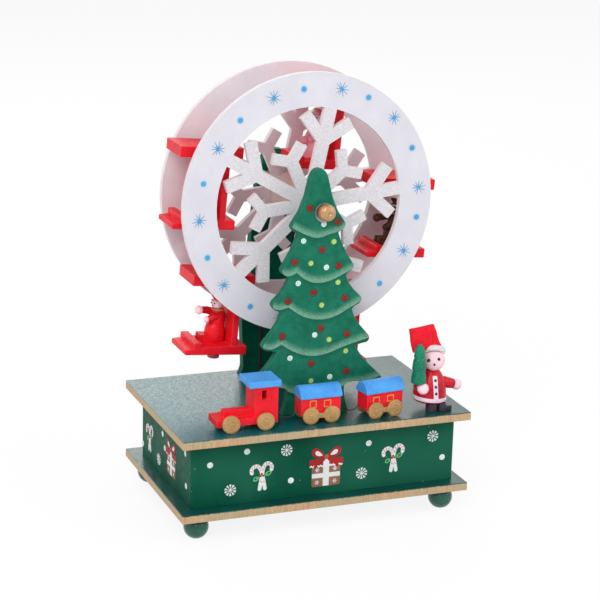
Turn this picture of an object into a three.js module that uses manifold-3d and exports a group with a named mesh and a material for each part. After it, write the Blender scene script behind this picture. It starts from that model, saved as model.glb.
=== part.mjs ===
// A hand-cranked wooden Ferris wheel toy on a box, with a painted tree, a train and a doll on its deck.
// Millimetres. +X runs right along the front edge, +Y to the back and +Z up.
// The origin is the middle of the whole toy's footprint, on the surface that it stands on.

import * as THREE from 'three';
import { mergeVertices } from 'three/addons/utils/BufferGeometryUtils.js';
import Module from 'manifold-3d';

const wasm = await Module();
wasm.setup();

// Shared fits
const gap = 0.3; // clearance round a shaft or pin, and between touching glued pieces that were cut
const weld = 0.4; // how far the shapes of one glued piece run into each other
const overrun = 2; // how far a cutter runs past the face it cuts

// Box
const plankLength = 180;
const plankDepth = 116.5;
const plankThickness = 5;
const wallHeight = 39.8;
const wallThickness = 5;
const wallInsetLeft = 7.8;
const wallInsetRight = 5.8;
const wallInsetY = 8.7;
const wallCornerRadius = 2.5;
const footRadius = 7.4;
const footHeight = 13.5;
const footCentreHeight = 6.8;
const footInset = 12;

// Wheel
const wheelX = 1.7;
const wheelHeight = 121.7; // axle above the deck
const ringOuterRadius = 77.8;
const ringInnerRadius = 57.6;
const discThickness = 4;
const discSpacing = 37.5; // clear distance between the two discs
const discPulleyClearance = 2.95; // between the rear disc and its pulley
const pinCircleRadius = 66;
const gondolaCount = 5;
const firstArmAngle = 6.4;
const hubApothem = 10;

// Snowflake cut in each disc
const longArmWidth = 7.6;
const longBranchWidth = 7.2;
const longBranchStart = 38;
const longBranchLength = 19.8;
const longBranchAngle = 48.3;
const shortArmWidth = 7;
const shortBranchWidth = 6.3;
const shortBranchStart = 28;
const shortBranchLength = 12.2;
const shortBranchAngle = 55;

// Axle, its beads and washer
const axleRadius = 2;
const beadRadius = 5;
const beadFlatRadius = 2.8;
const washerRadius = 5.8;
const washerThickness = 0.8;
const axleHeadRadius = 4;
const axleHeadLength = 3;

// Front tree board
const treeX = 0.3;
const treeFrontY = -32;
const treeThickness = 5.5;
const treeAboveAxle = 25.7;
const treeHeight = wheelHeight + treeAboveAxle;
const treeHalfWidth = 42.2;
const treeApexHalfWidth = 5.3;
const treeApexDrop = 5.2; // where the rounded tip starts, below the top
const tierTipRadius = 2.2;
const trunkHalfWidth = 18.1;
const trunkFilletHeight = 3;
const trunkFlareHeight = 13.5; // where the trunk starts to widen towards its foot
const trunkFootHalfWidth = 21;

// Rear post board
const postPulleyClearance = 4; // between the pulley and the post
const postThickness = 6;
const postAboveAxle = 21.8;
const postHeight = wheelHeight + postAboveAxle;
const postFootHalfWidth = 21;
const postLowHalfWidth = 18.9;
const postWideHalfWidth = 20.4; // where the sides start to close in
const postHighHalfWidth = 12.4;
const postFlareHeight = 7;
const postTaperHeight = 36.7;
const postShoulderDrop = 22.8; // where the rounded head starts, below the top
const postTopRadius = 9;

// Belt drive
const beltWallClearance = 1.55; // between the crank's pulley and the back wall
const beltPitchRadius = 10;
const beltThickness = 1.6;
const pulleyFlangeRadius = 12;
const pulleyWidth = 5;
const beltHoleRadius = 2.6;
const crankDrop = 24.9; // crank axis below the deck's top
const crankShaftRadius = 2;

// Crank
const crankArmLength = 16;
const crankArmWidth = 9;
const crankArmThickness = 2.5;
const crankArmClearance = 2; // behind the planks' back edge
const gripPinRadius = 1.5;
const gripLength = 16;
const gripRadius = 4.8;
const gripWaistRadius = 3.4;
const gripPinHeadRadius = 2.6;
const gripPinHeadLength = 1.2;

// Music movement
const movementPlateThickness = 3;
const movementFrontY = -12;
const movementBackY = 22;
const cylinderY = 12;
const cylinderRadius = 5.5;
const cylinderLength = 24;
const arborRadius = 1.5;
const cheekThickness = 3;
const cheekDepth = 9;
const cheekRise = 4;
const wheelToothCount = 16;
const wormWheelRadius = 6;
const wormWheelRootRadius = 4.9;
const wormWheelWidth = 3;
const wormRadius = 3.4;
const wormRingCount = 5;
const wormPitch = 2.2;
const combThickness = 1;
const combToothLength = 9;
const combHeelLength = 7;
const combToothCount = 12;
const combSlotShare = 0.35;
const bearingThickness = 4;
const bearingHalfWidth = 4.5;
const bearingRise = 4.5;

// Gondolas
const gondolaLeans = [4.5, 4.5, 4.5, 4.5, 1.5]; // degrees, how far each one hangs off level
const boardLength = 38.3;
const boardDepth = 27;
const roofThickness = 6.4;
const roofDrop = 1; // roof board's middle below the pin
const floorThickness = 5.7;
const floorDrop = 40.8; // floor board's top below the pin
const floorShift = -1.3;
const backrestFace = 7.7; // from the pin to the backrest's sitting face
const backrestThickness = 4;
const lipInset = 5.2;
const lipWidth = 5;
const lipHeight = 2.6;
const pinRadius = 1;
const pinSocketDepth = 2;

// Riders
const riderX = 1.2;
const riderBodyRadius = 6.2;
const riderBodyHeight = 19.7;
const riderNeckRadius = 2.6;
const riderHeadRadius = 3.5;
const riderHeight = 29.7;
const riderHandRadius = 2.4;
const riderArmRadius = 1.5;
const riderFeetLength = 10; // from the body's middle to the toes
const riderFeetWidth = 7;
const riderFeetHeight = 3.6;
const riderHandReaches = [8, 7.5, 9, 10.5, 9]; // hand in front of the body's middle, for each rider
const riderHandDrops = [6.7, 13.7, 9.7, 4.2, 9.7]; // hand below the head's middle

// Train
const trainWheelRadius = 5.1;
const trainWheelThickness = 3;
const trainDowelRadius = 1;
const locoSpacing = 45.65; // from the loco's middle to the first wagon's
const locoFrontY = -50.4;
const locoDepth = 15.6;
const locoLength = 37.1;
const locoChassisBottom = 3.6;
const locoChassisThickness = 4;
const locoWheelbase = 21;
const locoWheelShift = 0.05; // wheels' middle from the loco's
const locoWheelRadius = 5.3;
const locoFarWheelRadius = 3.8; // kept below the top of the chassis
const boilerLength = 17;
const boilerWidth = 5.5;
const boilerHeight = 4;
const cabLength = 14.4;
const cabTop = 25.7;
const cabWindowWidth = 2.8;
const cabWindowHeight = 5.6;
const cabWindowTopGap = 2;
const cabWindowPlaceShare = 0.4; // window's middle along the cab
const locoRoofLength = 19.4;
const locoRoofDepth = 18.5;
const locoRoofThickness = 3.8;
const locoRoofShift = -1.2; // roof's middle from the cab's
const wagonLength = 24.5;
const wagonDepth = 11;
const wagonBottom = 5.3;
const wagonTop = 15.3;
const wagonRoofLength = 26;
const wagonRoofDepth = 13;
const wagonRoofHeight = 7;
const wagonRoofEave = 1.6;
const wagonWheelbase = 13;
const wagonPlateThickness = 2;
const wagonTieHeight = 2.6;
const wagonSpacing = 39.9; // between the two wagons' middles
const wagon1FrontY = -49.5;
const wagon1Turn = 0;
const wagonDollSpacing = 31.4; // from the second wagon's middle to the doll's
const wagon2FrontY = -50.8;
const wagon2Turn = 8;

// Doll
const dollInset = 22; // from the deck's right end
const dollY = -44;
const dollLean = 4; // degrees, of the body towards +X
const dollBodyRadius = 9.7;
const dollNeckRadius = 4.6;
const dollBodyBottom = 3.6;
const dollBodyHeight = 21;
const dollHeadX = 2.4;
const dollHeadRadius = 6.5;
const dollHeadSeat = 5.9; // head's centre above the neck
const bootHeight = 3.9;
const bootDepth = 7;
const bootFrontY = -9;
const bootGap = 0.8;
const bootLeftLength = 7;
const bootRightLength = 11;
const bootCornerRadius = 2;
const dollHandRadius = 3.6;
const dollArmRadius = 3.3;
const dollRightReach = 18; // right hand's centre from the body's middle
const dollRightHandZ = 13.5;
const dollLeftHandX = -7.2;
const dollLeftHandY = -8;
const dollLeftHandZ = 15.4;
const dollSpruceX = -9.6;
const dollSpruceY = -6;
const dollSpruceZ = 18.7;
const dollSpruceRadius = 4.7;
const dollSpruceHeight = 24;
const hatBandRadius = 6.9;
const hatBandHeight = 3.6;
const hatBandRise = 3.2; // band's middle above the head's centre
const hatBandTilt = 14; // degrees, lower towards +X
const hatWidth = 21.8;
const hatHeight = 17.2;
const hatThickness = 4;
const hatReach = 17; // hat's left corner from the head's middle
const hatRise = 4.9; // hat's lower edge above the head's centre

// Facets round a full turn
const finely = 72;
const roundly = 20;
const coarsely = 14;
const sparsely = 10;

// Places worked out from the sizes
const bottomPlankZ = footHeight;
const wallBottomZ = bottomPlankZ + plankThickness;
const deckUnderZ = wallBottomZ + wallHeight;
const deckZ = deckUnderZ + plankThickness;
const wheelZ = deckZ + wheelHeight;
const wallFrontY = -plankDepth / 2 + wallInsetY;
const wallBackY = plankDepth / 2 - wallInsetY;
const beltY = wallBackY - wallThickness - beltWallClearance - pulleyWidth / 2;
const postFrontY = beltY + pulleyWidth / 2 + postPulleyClearance;
const rearDiscFrontY = beltY - pulleyWidth / 2 - discPulleyClearance - discThickness;
const frontDiscBackY = rearDiscFrontY - discSpacing;
const wheelMiddleY = (frontDiscBackY + rearDiscFrontY) / 2;
const wallLeftX = -plankLength / 2 + wallInsetLeft;
const wallRightX = plankLength / 2 - wallInsetRight;
const crankZ = deckZ - crankDrop;
const crankX = wheelX;
const crankArmY = plankDepth / 2 + crankArmClearance;
const dollX = plankLength / 2 - dollInset;
const wagon2X = dollX - wagonDollSpacing;
const wagon1X = wagon2X - wagonSpacing;
const locoX = wagon1X - locoSpacing;

// Materials
function paint(color, roughness = 0.5, metalness = 0) {
  return new THREE.MeshStandardMaterial({ color, roughness, metalness });
}
const darkGreen = paint(0x12553b, 0.35);
const treeGreen = paint(0x1c7a56, 0.5);
const white = paint(0xe9e8ee, 0.5);
const red = paint(0xd31a24, 0.4);
const blue = paint(0x4a90de, 0.45);
const goldWood = paint(0xb08a4f, 0.5);
const paleWood = paint(0xd8b888, 0.6);
const copperPaint = paint(0xa8743c, 0.4, 0.3);
const steel = paint(0xb8b8bc, 0.3, 1);
const brass = paint(0xc8a24a, 0.3, 1);
const rubber = paint(0x1c1a1c, 0.8);
const skin = paint(0xf2c2b0, 0.5);
const pink = paint(0xf0a8ac, 0.5);
const brown = paint(0x4a2c1c, 0.6);

// Solids
function solidOf(geometry) {
  const bare = geometry.clone();
  bare.deleteAttribute('normal');
  bare.deleteAttribute('uv');
  const merged = mergeVertices(bare);
  return new wasm.Manifold(new wasm.Mesh({
    numProp: 3,
    vertProperties: merged.attributes.position.array,
    triVerts: new Uint32Array(merged.index.array),
  }));
}

function geometryOf(solid) {
  const mesh = solid.getMesh();
  const geometry = new THREE.BufferGeometry();
  geometry.setAttribute('position', new THREE.BufferAttribute(mesh.vertProperties, 3));
  geometry.setIndex(new THREE.BufferAttribute(mesh.triVerts, 1));
  return geometry;
}

function joined(...geometries) {
  return geometryOf(geometries.map(solidOf).reduce((whole, next) => whole.add(next)));
}

function cut(geometry, ...cutters) {
  return geometryOf(cutters.map(solidOf).reduce((whole, next) => whole.subtract(next), solidOf(geometry)));
}

// A block between two limits on each axis
function block([x0, x1], [y0, y1], [z0, z1]) {
  const geometry = new THREE.BoxGeometry(x1 - x0, y1 - y0, z1 - z0);
  return geometry.translate((x0 + x1) / 2, (y0 + y1) / 2, (z0 + z1) / 2);
}

// Round rods between two limits, centred on the other two axes
function rodAlongY(radius, y0, y1, sides = coarsely) {
  return new THREE.CylinderGeometry(radius, radius, y1 - y0, sides).translate(0, (y0 + y1) / 2, 0);
}

function rodAlongX(radius, x0, x1, sides = coarsely) {
  const rod = new THREE.CylinderGeometry(radius, radius, x1 - x0, sides);
  return rod.rotateZ(Math.PI / 2).translate((x0 + x1) / 2, 0, 0);
}

function rodAlongZ(radius, z0, z1, sides = coarsely) {
  const rod = new THREE.CylinderGeometry(radius, radius, z1 - z0, sides);
  return rod.rotateX(Math.PI / 2).translate(0, 0, (z0 + z1) / 2);
}

// An outline drawn in X and Y, raised from one height to another
function raised(shape, [z0, z1], curveSegments = 3) {
  const geometry = new THREE.ExtrudeGeometry(shape, { depth: z1 - z0, bevelEnabled: false, curveSegments });
  return geometry.translate(0, 0, z0);
}

// An outline drawn in X and Z, given a thickness from frontY towards the back
function board(shape, frontY, thickness, curveSegments = 6) {
  const geometry = new THREE.ExtrudeGeometry(shape, { depth: thickness, bevelEnabled: false, curveSegments });
  return geometry.rotateX(Math.PI / 2).translate(0, frontY + thickness, 0);
}

// Turned shapes from [radius, height] pairs: about Z, and about Y with height towards the back
function turnedAboutZ(profile, sides = roundly) {
  return turnedAboutY(profile, sides).rotateX(Math.PI / 2);
}

function turnedAboutY(profile, sides = roundly) {
  return new THREE.LatheGeometry(profile.map(([r, h]) => new THREE.Vector2(r, h)), sides);
}

// Points of a circle's arc as [radius, height] pairs, from one height to another
function ballProfile(radius, centre, from, to, steps) {
  const start = Math.asin((from - centre) / radius);
  const end = Math.asin((to - centre) / radius);
  return Array.from({ length: steps + 1 }, (_, i) => {
    const angle = start + (end - start) * i / steps;
    return [radius * Math.cos(angle), centre + radius * Math.sin(angle)];
  });
}

// A whole outline from its right half, which runs from the foot to the middle of the top
function mirroredShape(path, divisions) {
  const right = path.getPoints(divisions);
  const left = right.slice(0, -1).reverse().map((point) => new THREE.Vector2(-point.x, point.y));
  return new THREE.Shape([...right, ...left]);
}

function addPart(parent, name, geometry, material) {
  const mesh = new THREE.Mesh(geometry, material);
  mesh.name = name;
  parent.add(mesh);
  return mesh;
}

function groupAt(parent, x, y, z) {
  const group = new THREE.Group();
  group.position.set(x, y, z);
  parent.add(group);
  return group;
}

const radians = THREE.MathUtils.degToRad;
const toy = new THREE.Group();

// The front wall's plan, with its two outer corners rounded
function longWall(leftX, rightX) {
  const shape = new THREE.Shape();
  const arcY = wallFrontY + wallCornerRadius;
  // An arc only joins on to a line that is already drawn, so the inner face comes first
  shape.moveTo(rightX, wallFrontY + wallThickness);
  shape.lineTo(leftX, wallFrontY + wallThickness);
  shape.absarc(leftX + wallCornerRadius, arcY, wallCornerRadius, Math.PI, Math.PI * 3 / 2);
  shape.absarc(rightX - wallCornerRadius, arcY, wallCornerRadius, Math.PI * 3 / 2, Math.PI * 2);
  return shape;
}

// Box: two planks, four walls and four ball feet
function makeBox() {
  const acrossX = [-plankLength / 2, plankLength / 2];
  const acrossY = [-plankDepth / 2, plankDepth / 2];
  addPart(toy, 'bottom_plank', block(acrossX, acrossY, [bottomPlankZ, wallBottomZ]), darkGreen);
  const deck = block(acrossX, acrossY, [deckUnderZ, deckZ]);
  const beltHoles = [-1, 1].map((side) => {
    const hole = rodAlongZ(beltHoleRadius, deckUnderZ - overrun, deckZ + overrun);
    return hole.translate(wheelX + side * beltPitchRadius, beltY, 0);
  });
  addPart(toy, 'top_plank', cut(deck, ...beltHoles), darkGreen);

  const wallZ = [wallBottomZ, deckUnderZ];
  const shortY = [wallFrontY + wallThickness, wallBackY - wallThickness];
  addPart(toy, 'front_wall', raised(longWall(wallLeftX, wallRightX), wallZ), darkGreen);
  const backWall = raised(longWall(-wallRightX, -wallLeftX), wallZ).rotateZ(Math.PI);
  const shaftHoleY = [wallBackY - wallThickness - overrun, wallBackY + overrun];
  const shaftHole = rodAlongY(crankShaftRadius + gap, ...shaftHoleY);
  addPart(toy, 'back_wall', cut(backWall, shaftHole.translate(crankX, 0, crankZ)), darkGreen);
  addPart(toy, 'left_wall', block([wallLeftX, wallLeftX + wallThickness], shortY, wallZ), darkGreen);
  addPart(toy, 'right_wall', block([wallRightX - wallThickness, wallRightX], shortY, wallZ), darkGreen);

  const footBall = ballProfile(footRadius, footCentreHeight, 0, footHeight, 5);
  const footProfile = [[0, 0], ...footBall, [0, footHeight]];
  for (const [sideX, nameX] of [[-1, 'left'], [1, 'right']]) {
    for (const [sideY, nameY] of [[-1, 'front'], [1, 'rear']]) {
      const foot = addPart(toy, `${nameY}_${nameX}_foot`, turnedAboutZ(footProfile), darkGreen);
      foot.position.set(sideX * (plankLength / 2 - footInset), sideY * (plankDepth / 2 - footInset), 0);
    }
  }
}

// Front tree: one flat board with five tiers, drilled for the axle
const tierTipWidthShares = [1, 0.803, 0.666, 0.539, 0.4];
const tierTipHeightShares = [0.1214, 0.2944, 0.46, 0.5984, 0.7714];
const tierTipDropShares = [0.5, 1.05, 1.2, 1.1, 1.15]; // how far each tip hangs, in tip radii
const tierNotchWidthShares = [0.557, 0.583, 0.519, 0.4194, 0.2927];
const tierNotchHeightShares = [0.1174, 0.2673, 0.424, 0.5645, 0.7388];
const sideSagWidthShares = [0.25, 0.1, 0.15, 0.26, 0.3]; // control points of the sides between two tiers
const sideSagHeightShares = [0.61, 0.66, 0.58, 0.57, 0.36];
// Upper end and control point of a tip's curve, and how wide its lower end is
const tipCurveShares = [[-0.45, 0.95], [0.45, -0.1], [-0.8, 0]];
const undersideShares = [0.3, 0.6]; // control point of a tier's underside, from its notch
const apexRoundShare = 0.72;
const treeLeanShare = 0.0105; // how far the board leans to the left over its height

function treeOutline() {
  const path = new THREE.Path();
  const notches = tierNotchWidthShares.map((share, tier) => (
    [treeHalfWidth * share, treeHeight * tierNotchHeightShares[tier]]
  ));
  const [upperEnd, tipControl, lowerEnd] = tipCurveShares.map(([x, z]) => [tierTipRadius * x, tierTipRadius * z]);
  const apex = [treeApexHalfWidth, treeHeight - treeApexDrop];
  path.moveTo(trunkFootHalfWidth, 0);
  path.quadraticCurveTo(trunkHalfWidth, trunkFlareHeight / 2, trunkHalfWidth, trunkFlareHeight);
  path.lineTo(trunkHalfWidth, notches[0][1] - trunkFilletHeight);
  path.quadraticCurveTo(trunkHalfWidth, notches[0][1], ...notches[0]);
  tierTipWidthShares.forEach((widthShare, tier) => {
    const tip = [treeHalfWidth * widthShare, treeHeight * tierTipHeightShares[tier]];
    const notch = notches[tier];
    const next = notches[tier + 1] ?? apex;
    const lower = [tip[0] + lowerEnd[0], tip[1] - tierTipRadius * tierTipDropShares[tier]];
    path.quadraticCurveTo(
      notch[0] + (lower[0] - notch[0]) * undersideShares[0],
      notch[1] + (lower[1] - notch[1]) * undersideShares[1],
      ...lower,
    );
    path.quadraticCurveTo(tip[0] + tipControl[0], tip[1] + tipControl[1], tip[0] + upperEnd[0], tip[1] + upperEnd[1]);
    path.quadraticCurveTo(
      next[0] + (tip[0] - next[0]) * sideSagWidthShares[tier],
      tip[1] + (next[1] - tip[1]) * sideSagHeightShares[tier],
      ...next,
    );
  });
  path.quadraticCurveTo(treeApexHalfWidth * apexRoundShare, treeHeight, 0, treeHeight);
  const upright = mirroredShape(path, 3).getPoints();
  return new THREE.Shape(upright.map(({ x, y }) => new THREE.Vector2(x - y * treeLeanShare, y)));
}

function makeTree() {
  const stand = board(treeOutline(), treeFrontY, treeThickness).translate(treeX, 0, deckZ);
  const axleHole = rodAlongY(axleRadius + gap, treeFrontY - overrun, treeFrontY + treeThickness + overrun);
  addPart(toy, 'front_tree', cut(stand, axleHole.translate(wheelX, 0, wheelZ)), treeGreen);
}

// Rear post: a thicker tapered board with a round top
function makePost() {
  const path = new THREE.Path();
  path.moveTo(postFootHalfWidth, 0);
  path.quadraticCurveTo(postLowHalfWidth, postFlareHeight / 2, postLowHalfWidth, postFlareHeight);
  path.lineTo(postWideHalfWidth, postTaperHeight);
  const straightHeight = postHeight - postShoulderDrop;
  path.lineTo(postHighHalfWidth, straightHeight);
  const shoulder = [postTopRadius, postHeight - postTopRadius];
  path.quadraticCurveTo(postHighHalfWidth, (straightHeight + shoulder[1]) / 2, shoulder[0], shoulder[1]);
  path.quadraticCurveTo(postTopRadius, postHeight, 0, postHeight);
  const stand = board(mirroredShape(path, 5), postFrontY, postThickness).translate(wheelX, 0, deckZ);
  const axleHole = rodAlongY(axleRadius + gap, postFrontY - overrun, postFrontY + postThickness + overrun);
  addPart(toy, 'rear_post', cut(stand, axleHole.translate(wheelX, 0, wheelZ)), darkGreen);
}

// Wheel: two snowflake discs on a five-sided hub and one axle. Its group has the axle as its Y axis.
function bar(start, length, width, angle) {
  const geometry = new THREE.BoxGeometry(length, width, discThickness);
  geometry.translate(length / 2, 0, discThickness / 2);
  return geometry.rotateZ(radians(angle)).translate(start, 0, 0);
}

function snowflakeDisc() {
  const ringShape = new THREE.Shape().absarc(0, 0, ringOuterRadius, 0, Math.PI * 2);
  ringShape.holes.push(new THREE.Path().absarc(0, 0, ringInnerRadius, 0, Math.PI * 2));
  const ring = new THREE.ExtrudeGeometry(ringShape, {
    depth: discThickness, bevelEnabled: false, curveSegments: finely / 2,
  });
  const bars = [];
  const armTurn = 360 / gondolaCount;
  for (let arm = 0; arm < gondolaCount; arm += 1) {
    const longArm = [bar(0, ringInnerRadius + weld, longArmWidth, 0)];
    const shortArm = [bar(0, shortBranchStart + weld, shortArmWidth, 0)];
    for (const side of [-1, 1]) {
      longArm.push(bar(longBranchStart, longBranchLength, longBranchWidth, side * longBranchAngle));
      shortArm.push(bar(shortBranchStart, shortBranchLength, shortBranchWidth, side * shortBranchAngle));
    }
    const angle = firstArmAngle + arm * armTurn;
    bars.push(...longArm.map((piece) => piece.rotateZ(radians(angle))));
    bars.push(...shortArm.map((piece) => piece.rotateZ(radians(angle + armTurn / 2))));
  }
  return joined(ring, ...bars);
}

function pinPlaces() {
  return Array.from({ length: gondolaCount }, (_, i) => {
    const angle = radians(firstArmAngle + i * 360 / gondolaCount);
    return [pinCircleRadius * Math.cos(angle), pinCircleRadius * Math.sin(angle)];
  });
}

function makeWheel() {
  const wheel = groupAt(toy, wheelX, 0, wheelZ);
  const discFronts = { front_disc: frontDiscBackY - discThickness, rear_disc: rearDiscFrontY };
  const sockets = pinPlaces().map(([x, z]) => rodAlongY(
    pinRadius + gap, frontDiscBackY - pinSocketDepth, rearDiscFrontY + pinSocketDepth, sparsely,
  ).translate(x, 0, z));
  for (const [name, frontY] of Object.entries(discFronts)) {
    const disc = snowflakeDisc().rotateX(Math.PI / 2).translate(0, frontY + discThickness, 0);
    const bore = rodAlongY(axleRadius + gap, frontY - overrun, frontY + discThickness + overrun);
    addPart(wheel, name, cut(disc, bore, ...sockets), white);
  }

  const hubRadius = hubApothem / Math.cos(Math.PI / gondolaCount);
  const hub = new THREE.CylinderGeometry(hubRadius, hubRadius, discSpacing, gondolaCount);
  hub.rotateY(Math.PI / 2 - radians(firstArmAngle)).translate(0, wheelMiddleY, 0);
  const hubBore = rodAlongY(axleRadius + gap, frontDiscBackY - overrun, rearDiscFrontY + overrun);
  addPart(wheel, 'wheel_hub', cut(hub, hubBore), paleWood);

  const axleBackY = postFrontY + postThickness + gap;
  const beadBackY = treeFrontY - gap - washerThickness;
  const beadHalfDepth = Math.sqrt(beadRadius ** 2 - beadFlatRadius ** 2);
  const beadY = beadBackY - beadHalfDepth;
  addPart(wheel, 'axle', turnedAboutY([
    [0, beadY],
    [axleRadius, beadY],
    [axleRadius, axleBackY],
    [axleHeadRadius, axleBackY],
    [axleHeadRadius, axleBackY + axleHeadLength],
    [0, axleBackY + axleHeadLength],
  ], coarsely), steel);

  const bead = turnedAboutY([
    [0, beadY - beadHalfDepth],
    ...ballProfile(beadRadius, beadY, beadY - beadHalfDepth, beadBackY, 6),
    [0, beadBackY],
  ]);
  const beadBore = rodAlongY(axleRadius + gap, beadY - gap, beadBackY + overrun);
  addPart(wheel, 'axle_bead', cut(bead, beadBore), copperPaint);
  addPart(wheel, 'axle_washer', turnedAboutY([
    [axleRadius + gap, beadBackY],
    [washerRadius, beadBackY],
    [washerRadius, beadBackY + washerThickness],
    [axleRadius + gap, beadBackY + washerThickness],
    [axleRadius + gap, beadBackY],
  ]), steel);
  addPart(wheel, 'axle_pulley', pulley(axleRadius), goldWood);

  pinPlaces().forEach(([x, z], i) => {
    const fromY = frontDiscBackY - pinSocketDepth + gap;
    const toY = rearDiscFrontY + pinSocketDepth - gap;
    const pin = addPart(wheel, `gondola_${i + 1}_pin`, rodAlongY(pinRadius, fromY, toY, sparsely), steel);
    pin.position.set(x, 0, z);
  });
}

// Both belt pulleys: a grooved disc about Y
function pulley(boreRadius) {
  const floorRadius = beltPitchRadius - beltThickness / 2 - gap;
  const halfGroove = beltThickness / 2 + gap;
  return turnedAboutY([
    [boreRadius + gap, beltY - pulleyWidth / 2],
    [pulleyFlangeRadius, beltY - pulleyWidth / 2],
    [pulleyFlangeRadius, beltY - halfGroove],
    [floorRadius, beltY - halfGroove],
    [floorRadius, beltY + halfGroove],
    [pulleyFlangeRadius, beltY + halfGroove],
    [pulleyFlangeRadius, beltY + pulleyWidth / 2],
    [boreRadius + gap, beltY + pulleyWidth / 2],
    [boreRadius + gap, beltY - pulleyWidth / 2],
  ], coarsely);
}

// Belt: one endless loop round both pulleys
function beltLoop(radius) {
  const loop = new THREE.Path();
  loop.absarc(wheelX, wheelZ, radius, 0, Math.PI);
  loop.absarc(crankX, crankZ, radius, Math.PI, Math.PI * 2);
  loop.closePath();
  return loop;
}

function makeBelt() {
  const shape = new THREE.Shape(beltLoop(beltPitchRadius + beltThickness / 2).getPoints(12));
  shape.holes.push(beltLoop(beltPitchRadius - beltThickness / 2));
  addPart(toy, 'drive_belt', board(shape, beltY - beltThickness / 2, beltThickness, 12), rubber);
}

const gripBulgeShares = [[0.77, 0.25], [0.95, 0.45], [1, 0.62], [0.88, 0.9]]; // radii and places along it

// Crank: shaft with its worm, pulley, arm with the grip's pin, and a grip that turns on the pin
function makeCrank() {
  const crank = groupAt(toy, crankX, 0, crankZ);
  const shaftFrontY = movementFrontY + gap;
  const wormFrontY = cylinderY - wormRingCount * wormPitch / 2;
  const wormProfile = [];
  for (let ring = 0; ring < wormRingCount; ring += 1) {
    wormProfile.push([crankShaftRadius, wormFrontY + ring * wormPitch]);
    wormProfile.push([wormRadius, wormFrontY + (ring + 1 / 2) * wormPitch]);
  }
  wormProfile.push([crankShaftRadius, wormFrontY + wormRingCount * wormPitch]);
  addPart(crank, 'crank_shaft', turnedAboutY([
    [0, shaftFrontY],
    [crankShaftRadius, shaftFrontY],
    ...wormProfile,
    [crankShaftRadius, crankArmY + crankArmThickness],
    [0, crankArmY + crankArmThickness],
  ], coarsely), steel);
  addPart(crank, 'crank_pulley', pulley(crankShaftRadius), goldWood);

  const armShape = new THREE.Shape();
  armShape.absarc(0, 0, crankArmWidth / 2, 0, Math.PI);
  armShape.absarc(0, -crankArmLength, crankArmWidth / 2, Math.PI, Math.PI * 2);
  const arm = board(armShape, crankArmY, crankArmThickness, 10);
  const gripFrontY = crankArmY + crankArmThickness + gap;
  const pinEndY = gripFrontY + gripLength + gap;
  const gripPin = turnedAboutY([
    [0, crankArmY + crankArmThickness - weld],
    [gripPinRadius, crankArmY + crankArmThickness - weld],
    [gripPinRadius, pinEndY],
    [gripPinHeadRadius, pinEndY],
    [gripPinHeadRadius, pinEndY + gripPinHeadLength],
    [0, pinEndY + gripPinHeadLength],
  ], coarsely).translate(0, 0, -crankArmLength);
  const armBoreY = [crankArmY - overrun, crankArmY + crankArmThickness + overrun];
  const shaftBore = rodAlongY(crankShaftRadius + gap, ...armBoreY);
  addPart(crank, 'crank_arm', cut(joined(arm, gripPin), shaftBore), steel);

  const grip = addPart(crank, 'crank_grip', turnedAboutY([
    [gripPinRadius + gap, gripFrontY],
    [gripWaistRadius, gripFrontY],
    ...gripBulgeShares.map(([r, y]) => [gripRadius * r, gripFrontY + gripLength * y]),
    [gripWaistRadius, gripFrontY + gripLength],
    [gripPinRadius + gap, gripFrontY + gripLength],
    [gripPinRadius + gap, gripFrontY],
  ]), red);
  grip.position.z = -crankArmLength;
}

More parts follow.
